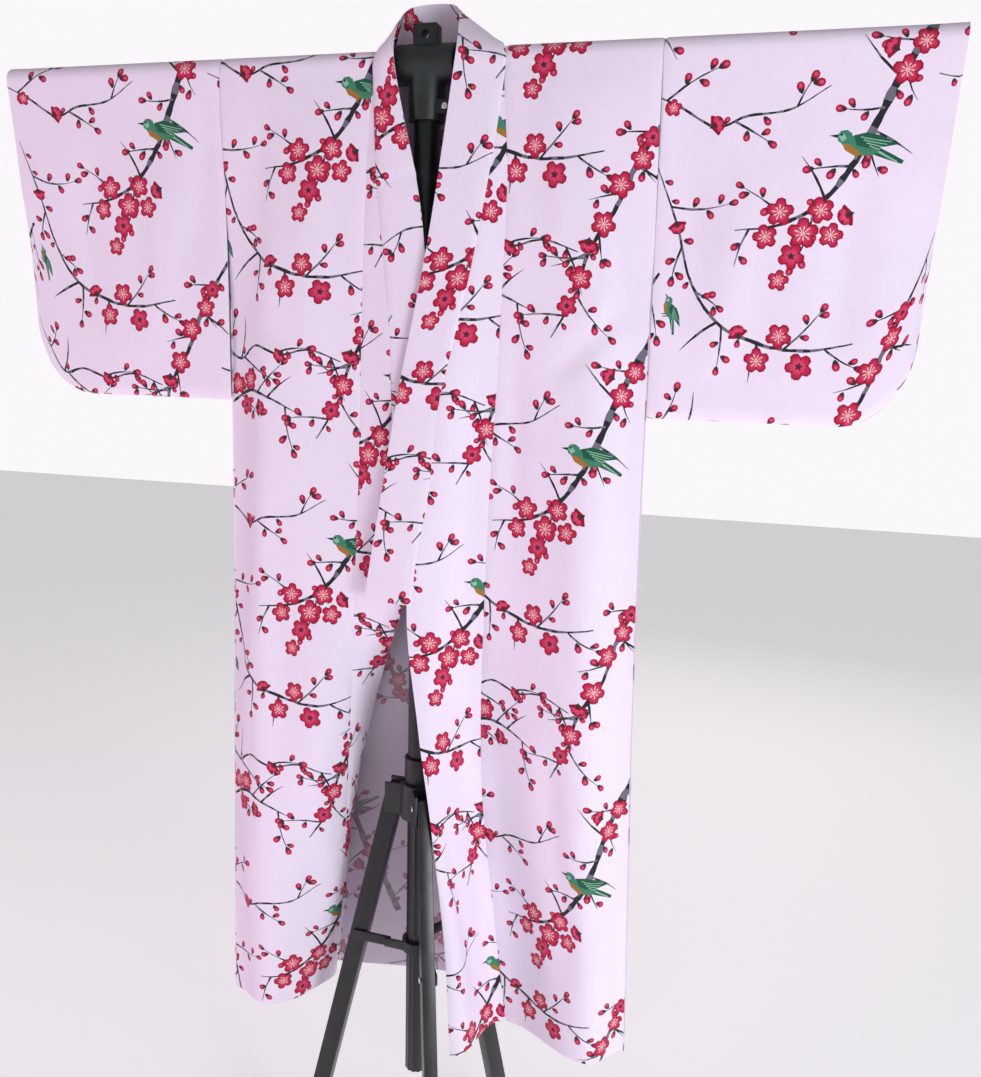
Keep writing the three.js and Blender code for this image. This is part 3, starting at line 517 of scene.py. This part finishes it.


# Soft creases placed on the flat cloth: from, to, half width and height in mm
creaseSet = dict(height=2.3, wander=6, wave=70, fade=0.35)
creases = dict(
    body_left_length=[
        ((60, 60), (40, 420), 26, -3.0), ((150, 40), (120, 300), 22, 2.2), ((20, 330), (150, 470), 16, -2.2),
        ((90, 520), (70, 1020), 30, 3.0), ((200, 300), (190, 760), 16, -2.0),
        ((140, 900), (110, 1480), 26, -3.2), ((40, 1180), (30, 1490), 20, 2.8),
        ((30, -420), (90, -60), 24, 2.6), ((160, -1480), (190, -700), 34, -4.0),
        ((80, -1490), (70, -900), 26, 3.2), ((250, -1490), (262, -820), 26, 3.0)],
    body_right_length=[
        ((70, 50), (46, 380), 24, -3.0), ((150, 50), (140, 520), 26, 2.6), ((24, 340), (120, 430), 14, -2.0),
        ((100, 560), (120, 1200), 28, -3.0), ((40, 700), (34, 1480), 20, 2.6),
        ((180, 820), (190, 1480), 22, 2.8), ((60, -430), (120, -80), 24, 2.6),
        ((170, -1480), (200, -760), 32, -3.8), ((90, -1480), (60, -820), 26, 3.0)],
    okumi_left=[((60, 300), (70, 900), 20, 2.4), ((90, 900), (60, 1470), 22, -2.8)],
    okumi_right=[((40, 200), (50, 700), 14, 1.4), ((50, 900), (60, 1470), 18, 2.0)],
    sleeve_left=[
        ((110, 150), (80, 470), 30, 2.6), ((230, 120), (250, 450), 26, -2.6), ((20, 60), (60, 300), 18, -2.0),
        ((120, -480), (90, -180), 30, 3.0), ((230, -470), (250, -160), 30, -2.6)],
    sleeve_right=[
        ((100, 120), (130, 460), 30, 3.0), ((240, 100), (220, 440), 26, -2.8),
        ((24, 50), (60, 320), 18, -2.0), ((130, -480), (110, -160), 28, 2.6),
        ((250, -460), (230, -180), 30, -2.6)],
    collar=[
        ((8, 470), (84, 452), 5, -1.4), ((10, 478), (82, 468), 4, 1.0), ((8, 1190), (80, 1172), 5, -1.2),
        ((20, 300), (70, 330), 14, 1.2), ((10, 800), (80, 820), 12, 1.2), ((14, 900), (76, 880), 12, 1.0)],
)


def creaseLift(name, u, v):
    lift = np.zeros_like(u)
    for (u0, v0), (u1, v1), width, height in creases.get(name, []):
        along = np.array([u1 - u0, v1 - v0], dtype=float)
        size = np.hypot(*along)
        along /= size
        t = (u - u0) * along[0] + (v - v0) * along[1]
        wander = creaseSet["wander"] * np.sin(t / creaseSet["wave"] + u0)
        side = (u - u0) * along[1] - (v - v0) * along[0] + wander
        ending = creaseSet["fade"] * size
        fade = ease(unit(t / ending)) * ease(unit((size - t) / ending))
        lift += creaseSet["height"] * height * fade * np.exp(-(side / width) ** 2)
    return lift


flatSet = dict(rows=260, columns=40, acrossStep=0.004, alongStep=0.0006)


# Finds a panel's point on the drape from its place on the flat cloth: u from its seam, v along it
class Panel:

    def __init__(self, name, point, q0, q1, outer):
        count, columns = flatSet["rows"], flatSet["columns"]
        self.name, self.point, self.q0, self.q1 = name, point, q0, q1
        self.q = np.linspace(q0, q1, count)
        self.s = np.linspace(0, 1, columns + 1)
        ss, qq = np.meshgrid(self.s, self.q)
        grid = point(ss.ravel(), qq.ravel()).reshape(count, columns + 1, 3)
        steps = np.linalg.norm(np.diff(grid, axis=1), axis=2)
        self.reach = np.concatenate([np.zeros((count, 1)), np.cumsum(steps, axis=1)], 1)
        middle = grid[:, columns // 2]
        self.v = np.concatenate([[0], np.cumsum(np.linalg.norm(np.diff(middle, axis=0), axis=1))])
        if name.startswith(("body", "sleeve")):  # v is zero on the fold and grows down the front
            self.v -= (self.v[(count - 1) // 2] + self.v[count // 2]) / 2
        self.sign = 1
        normal = self.normal(np.array([0.5]), np.array([q0 + (q1 - q0) * outer]))[0]
        self.sign = 1 if normal[1] < 0 else -1

    def paramsAt(self, u, v):
        q = np.interp(v, self.v, self.q)
        row = (q - self.q0) / (self.q1 - self.q0) * (len(self.q) - 1)
        i = np.clip(row.astype(int), 0, len(self.q) - 2)
        f = (row - i)[:, None]
        reach = self.reach[i] * (1 - f) + self.reach[i + 1] * f
        j = np.clip((reach < u[:, None]).sum(1) - 1, 0, len(self.s) - 2)
        n = np.arange(len(u))
        low, high = reach[n, j], reach[n, j + 1]
        share = unit((u - low) / np.maximum(high - low, 1e-9))
        return self.s[j] + share * (self.s[j + 1] - self.s[j]), q

    def normal(self, s, q):
        ds, dq = flatSet["acrossStep"], abs(self.q1 - self.q0) * flatSet["alongStep"]
        low, high = min(self.q0, self.q1), max(self.q0, self.q1)
        along = self.point(np.clip(s + ds, 0, 1), q) - self.point(np.clip(s - ds, 0, 1), q)
        down = self.point(s, np.clip(q + dq, low, high)) - self.point(s, np.clip(q - dq, low, high))
        n = np.cross(along, down)
        return self.sign * n / np.maximum(np.linalg.norm(n, axis=1), 1e-12)[:, None]


# Point and outward normal on the draped and creased cloth
def finish(panel, u, v):
    s, q = panel.paramsAt(u, v)
    p, n = panel.point(s, q), panel.normal(s, q)
    return p + n * creaseLift(panel.name, u, v)[:, None], n


# How thick the cloth looks, how its seams roll in, and how finely its edges and the fold are cut
clothSet = dict(thickness=0.8, hemExtra=0.7, hemWidth=20, hemFade=2, rollDepth=1.5, rollWidth=5,
                collarExtra=0.45, thinEdge=0.35, roundEdge=5, edgeStep=10, edgeGap=3.5, foldRows=40,
                foldStep=5.0, foldClear=44, smoothAngle=50)
fullLength = float(lengthAt(drapeSet["length"]))
# Each panel: its drape, how far along it its outer side faces the front, and the print's place on it
panels = [
    dict(name="body_left_length", point=bodyPoint(overFront), q=(-fullLength, fullLength),
         outer=0.7, shift=(-22, 250), along=-1,
         seams=("left", "right"), hems=("top", "bottom"), cut=(0.36, 2.99)),
    dict(name="body_right_length", point=bodyPoint(underFront), q=(-fullLength, fullLength),
         outer=0.7, shift=(40, 96), along=1,
         seams=("left", "right"), hems=("top", "bottom"), cut=(0.36, 2.99)),
    dict(name="okumi_left", point=okumiPoint(overFront), q=(60, 1482), outer=0.3,
         shift=(250, 120), along=-1, seams=("left",), hems=("bottom", "right"), cut=(0.16, 1.44)),
    dict(name="okumi_right", point=okumiPoint(underFront), q=(60, 1482), outer=0.3,
         shift=(180, 420), along=1, seams=("left",), hems=("bottom", "right"), cut=(0.16, 1.44)),
    dict(name="sleeve_left", point=sleevePoint(1), q=(1, 0), outer=0.75,
         shift=(10, 20), along=1, seams=("left", "top", "bottom"), hems=("right",), cut=(0.36, 0.97)),
    dict(name="sleeve_right", point=sleevePoint(-1), q=(1, 0), outer=0.75,
         shift=(356, 60), along=-1, seams=("left", "top", "bottom"), hems=("right",), cut=(0.36, 0.97)),
    dict(name="collar", point=collarPoint, q=(0, 1), outer=0.15,
         shift=(210, 100), along=-1, down=-1, seams=("left",), hems=("top", "bottom"), roll=3.2,
         cut=(0.09, 1.9)),
]


# The panel's flat outline, from its upper seam corner round
def outline(panel):
    step = clothSet["edgeStep"]
    low, high = panel.v[0], panel.v[-1]
    rows = np.linspace(low, high, int((high - low) / step) + 1)
    right = [(np.interp(v, panel.v, panel.reach[:, -1]), v) for v in rows]
    first = [(u, low) for u in np.arange(0, right[0][0] - step / 2, step)]
    last = [(u, high) for u in np.arange(right[-1][0] - step, step / 2, -step)]
    return (first if right[0][0] > 1 else [(0, low)]) + right + last + [(0, v) for v in rows[::-1][:-1]]


# Points inside the outline, so that long triangles don't flatten the folds
def gridPoints(panel):
    step, gap, fold = printSet["step"], clothSet["edgeGap"], clothSet["foldRows"]
    rows = np.arange(panel.v[0] + step / 2, panel.v[-1], step)
    if panel.v[0] < 0:  # closer rows where the cloth turns over the bar
        beside = rows[np.abs(rows) > clothSet["foldClear"]]
        rows = np.concatenate([beside, np.arange(-fold, fold + 1, clothSet["foldStep"])])
    points = []
    for v in rows:
        width = np.interp(v, panel.v, panel.reach[:, -1])
        if width > step * 1.5:
            points += [(u, v) for u in np.linspace(gap, width - gap, int((width - 5) / step) + 1)]
    return points


# Which points lie inside a closed ring, by counting the edges to their right
def insideRing(points, ring):
    x, y = points[:, :1], points[:, 1:]
    (x0, y0), (x1, y1) = ring.T, np.roll(ring, -1, 0).T
    level = np.where(y1 == y0, 1, y1 - y0)
    crossed = ((y0 > y) != (y1 > y)) & (x < x0 + (y - y0) * (x1 - x0) / level)
    return crossed.sum(1) % 2 == 1


# The shapes of the print that fall on a panel, placed on its flat cloth
def placedShapes(panel, spec):
    width, height = printSet["repeat"]
    (shiftU, shiftV), along, down = spec["shift"], spec["along"], spec.get("down", 1)
    turn = np.array([along, down])
    reach, margin = panel.reach[:, -1].max(), printSet["margin"]
    sideways, lengthways = printSet["copies"]
    placed = []
    for i in range(-sideways, sideways + 1):
        for j in range(-lengthways, lengthways + 1):
            move = np.array([i * width - shiftU, j * height - shiftV])
            corners = np.sort(turn * (np.array([[0, 0], [width, height]]) + move), axis=0)
            past = (corners[0] > (reach + margin, panel.v[-1] + margin)).any()
            before = (corners[1] < (-margin, panel.v[0] - margin)).any()
            if past or before:
                continue
            for points, ink, centre, radius in repeatShapes:
                ring = turn * (points + move)
                low, high = ring.min(0), ring.max(0)
                if high[0] > 0 and low[0] < reach and high[1] > panel.v[0] and low[1] < panel.v[-1]:
                    placed.append((ring, ink, turn * (np.array(centre) + move), radius))
    return placed


# Cuts the print into the panel: flat points, triangles and the colour on each corner
def flatTriangles(panel, spec):
    border = outline(panel)
    placed = placedShapes(panel, spec)
    rings = [np.array(border)] + [shape[0] for shape in placed]
    edges, start = [], 0
    for ring in rings:
        count = len(ring)
        edges += [(start + k, start + (k + 1) % count) for k in range(count)]
        start += count
    points = np.concatenate(rings + [np.array(gridPoints(panel))])
    verts, _, tris, *_ = delaunay_2d_cdt(points.tolist(), edges, [], 0, 1e-5, False)
    flat, tris = np.array([tuple(p) for p in verts]), np.array(tris)
    middle = flat[tris].mean(1)
    rightEdge = np.array([(v, u) for u, v in border if u > 1 and panel.v[0] < v < panel.v[-1]])
    order = np.argsort(rightEdge[:, 0])
    right = np.interp(middle[:, 1], rightEdge[order, 0], rightEdge[order, 1])
    u, v = middle.T
    inside = (u > 0) & (u < right) & (v > panel.v[0]) & (v < panel.v[-1])
    tris, middle = tris[inside], middle[inside]
    byV = np.argsort(middle[:, 1])
    tris, middle = tris[byV], middle[byV]
    colours = np.ones((len(tris), 3, 4))
    colours[..., :3] = inks["ground"]
    fadeFrom, fadeWidth = printSet["petalFade"]
    for ring, ink, centre, radius in placed:
        low, high = ring.min(0), ring.max(0)
        rows = np.arange(*np.searchsorted(middle[:, 1], (low[1], high[1])))
        rows = rows[(middle[rows, 0] > low[0]) & (middle[rows, 0] < high[0])]
        rows = rows[insideRing(middle[rows], ring)]
        if ink == "petal":
            outward = np.linalg.norm(flat[tris[rows]] - centre, axis=2) / radius
            share = ease(unit((outward - fadeFrom) / fadeWidth))[..., None]
            colours[rows, :, :3] = inks["petalIn"] * (1 - share) + inks["petalOut"] * share
        else:
            colours[rows, :, :3] = inks[ink]
    return flat, tris, colours


def edgeDistance(panel, u, v, side):
    if side == "left":
        return u
    if side == "right":
        return np.interp(v, panel.v, panel.reach[:, -1]) - u
    return v - panel.v[0] if side == "top" else panel.v[-1] - v


# Half of the thickness that shows: more along the hems, and rounded off at the collar's fold
def halfThickness(panel, spec, u, v):
    half = np.full(len(u), clothSet["thickness"] / 2)
    for side in spec["hems"]:
        inward = (clothSet["hemWidth"] - edgeDistance(panel, u, v, side)) / clothSet["hemFade"]
        half += clothSet["hemExtra"] / 2 * ease(unit(inward))
    if spec["name"] == "collar":
        half += clothSet["collarExtra"]
        toFold = unit(edgeDistance(panel, u, v, "right") / clothSet["roundEdge"])
        half *= clothSet["thinEdge"] + (1 - clothSet["thinEdge"]) * np.sqrt(toFold)
    return half


# Triangles that close the two skins to each other along every free edge
def rimTriangles(tris, count):
    edges = np.concatenate([tris[:, [0, 1]], tris[:, [1, 2]], tris[:, [2, 0]]])
    keys = edges.min(1) * count + edges.max(1)
    _, where, times = np.unique(keys, return_index=True, return_counts=True)
    start, end = edges[where[times == 1]].T
    return np.concatenate([np.stack([end, start, start + count], 1),
                           np.stack([end, start + count, end + count], 1)])


# A mesh object from points in mm, with the flat cloth as its UV map and the print on its corners
def clothObject(name, points, tris, uv, colours, slots):
    mesh = bpy.data.meshes.new(name)
    mesh.from_pydata((points / 1000).tolist(), [], tris.tolist())
    mesh.polygons.foreach_set("use_smooth", [True] * len(tris))
    mesh.polygons.foreach_set("material_index", slots)
    layer = mesh.uv_layers.new(name="flat")
    layer.data.foreach_set("uv", uv[tris.ravel()].ravel())
    paint = mesh.color_attributes.new("print", "FLOAT_COLOR", "CORNER")
    paint.data.foreach_set("color", colours.reshape(-1))
    mesh.update()
    piece = bpy.data.objects.new(name, mesh)
    bpy.context.collection.objects.link(piece)
    mesh.materials.append(clothFace)
    mesh.materials.append(clothInside)
    bpy.context.view_layer.objects.active = piece
    piece.select_set(True)
    bpy.ops.object.shade_smooth_by_angle(angle=math.radians(clothSet["smoothAngle"]))
    piece.select_set(False)
    return piece


def buildPanel(spec):
    name, (width, length) = spec["name"], spec["cut"]
    panel = Panel(name, spec["point"], *spec["q"], spec["outer"])
    flat, tris, colours = flatTriangles(panel, spec)
    usedPoints, tris = np.unique(tris, return_inverse=True)
    flat, tris = flat[usedPoints], tris.reshape(-1, 3)
    u, v = flat[:, 0], flat[:, 1]
    middle, normal = finish(panel, u, v)
    half = halfThickness(panel, spec, u, v)
    for side in spec["seams"]:
        near = unit(1 - edgeDistance(panel, u, v, side) / clothSet["rollWidth"])
        middle = middle - normal * (spec.get("roll", clothSet["rollDepth"]) * near ** 2)[:, None]
    # wind every triangle so that the outer skin faces out
    a, b, c = (middle[tris[:, k]] for k in range(3))
    flip = (np.cross(b - a, c - a) * normal[tris[:, 0]]).sum(1) < 0
    tris[flip], colours[flip] = tris[flip][:, ::-1], colours[flip][:, ::-1]
    rims = rimTriangles(tris, len(u))
    allTris = np.concatenate([tris, tris[:, ::-1] + len(u), rims])
    points = np.concatenate([middle + normal * half[:, None], middle - normal * half[:, None]])
    points[:, 1] += drapeSet["shiftY"]
    rimColour = np.broadcast_to(np.append(inks["ground"], 1), (len(rims), 3, 4))
    allColours = np.concatenate([colours, colours[:, ::-1], rimColour])
    uv = np.concatenate([flat, flat]) / 1000
    slots = np.zeros(len(allTris), dtype=int)
    if name != "collar":  # the collar is folded double, so its face shows on both sides
        slots[len(tris):2 * len(tris)] = 1
    piece = clothObject(name + "_cloth", points, allTris, uv, allColours, slots)
    a, b, c = (flat[tris[:, k]] for k in range(3))
    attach(piece, "upper")
    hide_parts(name)


# Cotton: colour from the print, slubs and weave from the flat cloth's own UV map
cottonSet = dict(slubTone=0.035, weaveHeight=0.00006, weaveBump=0.5, threadPitch=0.0011, mottle=0.02,
                 weftScale=(34, 900, 1), warpScale=(900, 26, 1), mottleScale=(9, 7, 1), roughness=0.86,
                 sheen=0.12, sheenRoughness=0.5, specular=0.25, insideGrey=0.42, insideShade=0.86)


# Sets each input of a node to a value, or links it from another node's output
def setInputs(tree, node, inputs):
    for label, value in inputs.items():
        if isinstance(value, bpy.types.NodeSocket):
            tree.links.new(value, node.inputs[label])
        else:
            node.inputs[label].default_value = value


def addNode(tree, kind, inputs=None, **settings):
    node = tree.nodes.new("ShaderNode" + kind)
    for name, value in settings.items():
        setattr(node, name, value)
    setInputs(tree, node, inputs or {})
    return node


def maths(tree, operation, *values):
    return addNode(tree, "Math", dict(enumerate(values)), operation=operation).outputs[0]


def newMaterial(name):
    material = bpy.data.materials.new(name)
    material.use_nodes = True
    tree = material.node_tree
    tree.nodes.clear()
    shader = addNode(tree, "BsdfPrincipled")
    addNode(tree, "OutputMaterial", {"Surface": shader.outputs["BSDF"]})
    return material, tree, shader


def nodeGroup(name, inputs, outputs):
    group = bpy.data.node_groups.new(name, "ShaderNodeTree")
    for label, kind, value in inputs:
        socket = group.interface.new_socket(name=label, in_out="INPUT", socket_type=kind)
        if value is not None:
            socket.default_value = value
    for label in outputs:
        group.interface.new_socket(name=label, in_out="OUTPUT", socket_type="NodeSocketFloat")
    return group, group.nodes.new("NodeGroupInput").outputs, group.nodes.new("NodeGroupOutput")


def stretchedNoise(tree, vector, scale, detail=2):
    mapping = addNode(tree, "Mapping", {"Scale": scale, "Vector": vector})
    noise = addNode(tree, "TexNoise", {"Scale": 1, "Detail": detail, "Vector": mapping.outputs[0]})
    return noise.outputs["Fac"]


# Plain weave with slubs, from flat cloth coordinates in metres
def makeWeave():
    group, given, result = nodeGroup(
        "plainWeave",
        [("Flat", "NodeSocketVector", None), ("Pitch", "NodeSocketFloat", cottonSet["threadPitch"])],
        ["Slub", "Height", "Mottle"])
    weft = stretchedNoise(group, given["Flat"], cottonSet["weftScale"])
    warp = stretchedNoise(group, given["Flat"], cottonSet["warpScale"])
    slub = maths(group, "ADD", weft, warp)
    split = addNode(group, "SeparateXYZ", {0: given["Flat"]})
    waves = []
    for axis in ("X", "Y"):
        turns = maths(group, "DIVIDE", split.outputs[axis], given["Pitch"])
        waves.append(maths(group, "SINE", maths(group, "MULTIPLY", turns, math.pi)))
    setInputs(group, result, {
        "Slub": maths(group, "SUBTRACT", slub, 1.0),
        "Height": maths(group, "ADD", maths(group, "MULTIPLY", *waves), slub),
        "Mottle": stretchedNoise(group, given["Flat"], cottonSet["mottleScale"], 3)})
    return group


weaveGroup = makeWeave()


def clothMaterial(name, inside):
    material, tree, shader = newMaterial(name)
    colour = addNode(tree, "Attribute", attribute_name="print").outputs["Color"]
    flat = addNode(tree, "UVMap", uv_map="flat").outputs[0]
    weave = addNode(tree, "Group", {"Flat": flat}, node_tree=weaveGroup)
    if inside:  # the dye is weaker on the wrong side of the cloth, and the ground there is a little darker as painted shade inside the garment
        pale = (*(inks["ground"] * cottonSet["insideShade"]), 1)
        mix = {"Factor": cottonSet["insideGrey"], "A": colour, "B": pale}
        colour = addNode(tree, "Mix", mix, data_type="RGBA").outputs["Result"]
    slub = maths(tree, "MULTIPLY", weave.outputs["Slub"], cottonSet["slubTone"] * 2)
    mottle = maths(tree, "SUBTRACT", weave.outputs["Mottle"], 0.5)
    cloudy = maths(tree, "MULTIPLY", mottle, cottonSet["mottle"] * 2)
    tone = maths(tree, "ADD", maths(tree, "ADD", 1.0, slub), cloudy)
    toned = addNode(tree, "HueSaturation", {"Color": colour, "Value": tone})
    bump = addNode(tree, "Bump", {"Strength": cottonSet["weaveBump"], "Distance": cottonSet["weaveHeight"],
                                  "Height": weave.outputs["Height"]})
    setInputs(tree, shader, {
        "Base Color": toned.outputs[0], "Normal": bump.outputs[0], "Roughness": cottonSet["roughness"],
        "Sheen Weight": cottonSet["sheen"], "Sheen Roughness": cottonSet["sheenRoughness"],
        "Specular IOR Level": cottonSet["specular"]})
    return material


clothFace = clothMaterial("printedCotton", False)
clothInside = clothMaterial("printedCottonInside", True)
for spec in panels:
    buildPanel(spec)
print("cloth hung")


# Stand: satin black tubes, moulded plastic, rubber and bright screws
standSet = {
    "black_steel": dict(colour=(0.008, 0.009, 0.01), roughness=0.36, metallic=0.0, grain=260, depth=0.00004),
    "black_aluminium": dict(colour=(0.01, 0.012, 0.012), roughness=0.34, metallic=0.2, grain=240,
                            depth=0.00003),
    "black_plastic": dict(colour=(0.009, 0.013, 0.013), roughness=0.46, metallic=0.0, grain=900,
                          depth=0.00008),
    "chrome": dict(colour=(0.78, 0.79, 0.8), roughness=0.16, metallic=1.0, grain=500, depth=0.00002),
    "rubber": dict(colour=(0.01, 0.01, 0.01), roughness=0.75, metallic=0.0, grain=700, depth=0.0001),
}


# Dust in soft patches that pale and dull the finish, over a fine grain
wearSet = dict(dustScale=22, dustDetail=5, dustFrom=0.5, dustFull=0.8, pale=1.8, paleAdd=0.003, dull=0.16,
               shine=0.05, grainBump=0.4)


# Dust and fine scuffs from object coordinates
def makeWear():
    group, given, result = nodeGroup(
        "dustAndScuffs", [("Place", "NodeSocketVector", None), ("Grain", "NodeSocketFloat", 300.0)],
        ["Dust", "Height"])
    broad = addNode(group, "TexNoise", {"Scale": wearSet["dustScale"], "Detail": wearSet["dustDetail"],
                                        "Vector": given["Place"]})
    fine = addNode(group, "TexNoise", {"Scale": given["Grain"], "Vector": given["Place"]})
    ramp = addNode(group, "MapRange", {"From Min": wearSet["dustFrom"], "From Max": wearSet["dustFull"],
                                       "Value": broad.outputs["Fac"]})
    setInputs(group, result, {"Dust": ramp.outputs[0], "Height": fine.outputs["Fac"]})
    return group


wearGroup = makeWear()


def hardMaterial(name, colour, roughness, metallic, grain, depth):
    material, tree, shader = newMaterial(name)
    place = addNode(tree, "TexCoord").outputs["Object"]
    wear = addNode(tree, "Group", {"Grain": grain, "Place": place}, node_tree=wearGroup)
    dust = wear.outputs["Dust"]
    dusty = [min(c * wearSet["pale"] + wearSet["paleAdd"], 1) for c in colour]
    paint = addNode(tree, "Mix", {"Factor": dust, "A": (*colour, 1), "B": (*dusty, 1)}, data_type="RGBA")
    dull = maths(tree, "MULTIPLY", dust, wearSet["dull"])
    bump = addNode(tree, "Bump", {"Strength": wearSet["grainBump"], "Distance": depth,
                                  "Height": wear.outputs["Height"]})
    setInputs(tree, shader, {
        "Base Color": paint.outputs["Result"], "Normal": bump.outputs[0], "Metallic": metallic,
        "Roughness": maths(tree, "ADD", roughness - wearSet["shine"], dull)})
    return material


hard = {slot: hardMaterial(slot + "_finish", **values) for slot, values in standSet.items()}

# Edge radius in mm on each kind of hard piece
edgeSet = dict(tee=1.8, tee_screw=1.0, hub=1.2, hub_screw=1.1, runner=1.2, mast_sleeve=0.8, mast=0.3,
               column=0.3, crossbar=0.3, bar_plug=0.8, leg=0.9, leg_screw=1.1, foot=1.8, brace=0.5)
roundSet = dict(merge=1e-6, flatAngle=0.6, edgeAngle=42, smoothAngle=32, segments=3)


# A copy of the solid with its flat faces joined, its edges rounded and its finish on
def roundedPiece(name, slot):
    node = frame["nodes"][name]
    mesh = node.data.copy()
    piece = bpy.data.objects.new(name + "_finished", mesh)
    bpy.context.collection.objects.link(piece)
    mesh.materials.clear()
    mesh.materials.append(hard[slot])
    bpy.ops.object.select_all(action="DESELECT")
    bpy.context.view_layer.objects.active = piece
    piece.select_set(True)
    bpy.ops.object.mode_set(mode="EDIT")
    bpy.ops.mesh.select_all(action="SELECT")
    bpy.ops.mesh.remove_doubles(threshold=roundSet["merge"])
    bpy.ops.mesh.dissolve_limited(angle_limit=math.radians(roundSet["flatAngle"]))
    bpy.ops.object.mode_set(mode="OBJECT")
    kind = name
    for end in ("_front", "_back", "_side", "_left", "_right"):
        kind = kind.removesuffix(end)
    bevel = piece.modifiers.new("edges", "BEVEL")
    bevel.width = edgeSet[kind] / 1000
    bevel.segments = roundSet["segments"]
    bevel.limit_method = "ANGLE"
    bevel.angle_limit = math.radians(roundSet["edgeAngle"])
    bpy.ops.object.modifier_apply(modifier="edges")
    bpy.ops.object.shade_smooth_by_angle(angle=math.radians(roundSet["smoothAngle"]))
    piece.select_set(False)
    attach(piece, node["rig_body"])
    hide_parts(name)


for entry in frame["record"]["subparts"]:
    if entry["material_slot"] in hard:
        roundedPiece(entry["node"], entry["material_slot"])
print("stand finished")


# The camera at the photograph's angle, soft lights, a white room and a pale floor
viewSet = dict(place=(0.49253, -1.43337, 1.45127), turn=0.26856, tip=0.19733, roll=0.02386, lens=34.98,
               sensor=36)
roomSet = dict(colour=(1.0, 0.97, 1.0, 1), light=0.36, seen=0.6, floorSize=14)
floorSet = {"Base Color": (0.97, 0.97, 0.98, 1), "Roughness": 0.8, "Emission Color": (1, 0.98, 1, 1),
            "Emission Strength": 0.28}


def addCamera():
    a, p, r = viewSet["turn"], viewSet["tip"], viewSet["roll"]
    back = np.array([math.sin(a) * math.cos(p), -math.cos(a) * math.cos(p), math.sin(p)])
    right = np.array([math.cos(a), math.sin(a), 0.0])
    up = np.cross(back, right)
    c, s = math.cos(r), math.sin(r)
    columns = np.stack([right * c + up * s, up * c - right * s, back], 1)
    data = bpy.data.cameras.new("camera")
    data.lens = viewSet["lens"]
    data.sensor_width = viewSet["sensor"]
    data.sensor_fit = "AUTO"
    camera = bpy.data.objects.new("camera", data)
    bpy.context.collection.objects.link(camera)
    camera.matrix_world = Matrix([[*columns[i], viewSet["place"][i]] for i in range(3)] + [[0, 0, 0, 1]])
    bpy.context.scene.camera = camera


def addLight(name, place, target, size, power, colour):
    data = bpy.data.lights.new(name, "AREA")
    data.energy, data.size, data.color = power, size, colour
    lamp = bpy.data.objects.new(name, data)
    bpy.context.collection.objects.link(lamp)
    direction = np.array(target) - np.array(place)
    z = -direction / np.linalg.norm(direction)
    x = np.cross([0, 0, 1], z)
    x /= np.linalg.norm(x)
    y = np.cross(z, x)
    lamp.matrix_world = Matrix([[x[i], y[i], z[i], place[i]] for i in range(3)] + [[0, 0, 0, 1]])


# White all round, and brighter to the camera than to the cloth
def addRoom():
    world = bpy.data.worlds.new("whiteRoom")
    bpy.context.scene.world = world
    world.use_nodes = True
    tree = world.node_tree
    rays = addNode(tree, "LightPath")
    seen = maths(tree, "MULTIPLY", rays.outputs["Is Camera Ray"], roomSet["seen"])
    strength = maths(tree, "ADD", seen, roomSet["light"])
    setInputs(tree, tree.nodes["Background"], {"Color": roomSet["colour"], "Strength": strength})


def addFloor():
    material, tree, shader = newMaterial("paleFloor")
    setInputs(tree, shader, floorSet)
    bpy.ops.mesh.primitive_plane_add(size=roomSet["floorSize"], location=(0, 0, 0))
    floor = bpy.context.object
    floor.name = "floor"
    floor.data.materials.append(material)


addCamera()
addLight("keyLight", (2.3, -1.9, 0.8), (0.05, 0, 0.85), 1.1, 43, (0.9, 0.97, 1.0))
addLight("leftFill", (-2.6, -1.5, 0.9), (0, 0, 0.8), 1.2, 21, (1.0, 0.62, 0.84))
addLight("backFill", (0.4, 2.8, 2.2), (0, 0, 1.1), 2.0, 16, (1.0, 0.95, 0.98))
bpy.context.scene.view_settings.view_transform = "Standard"
addRoom()
addFloor()
print("camera, lights and room set")

bpy.context.view_layer.update()
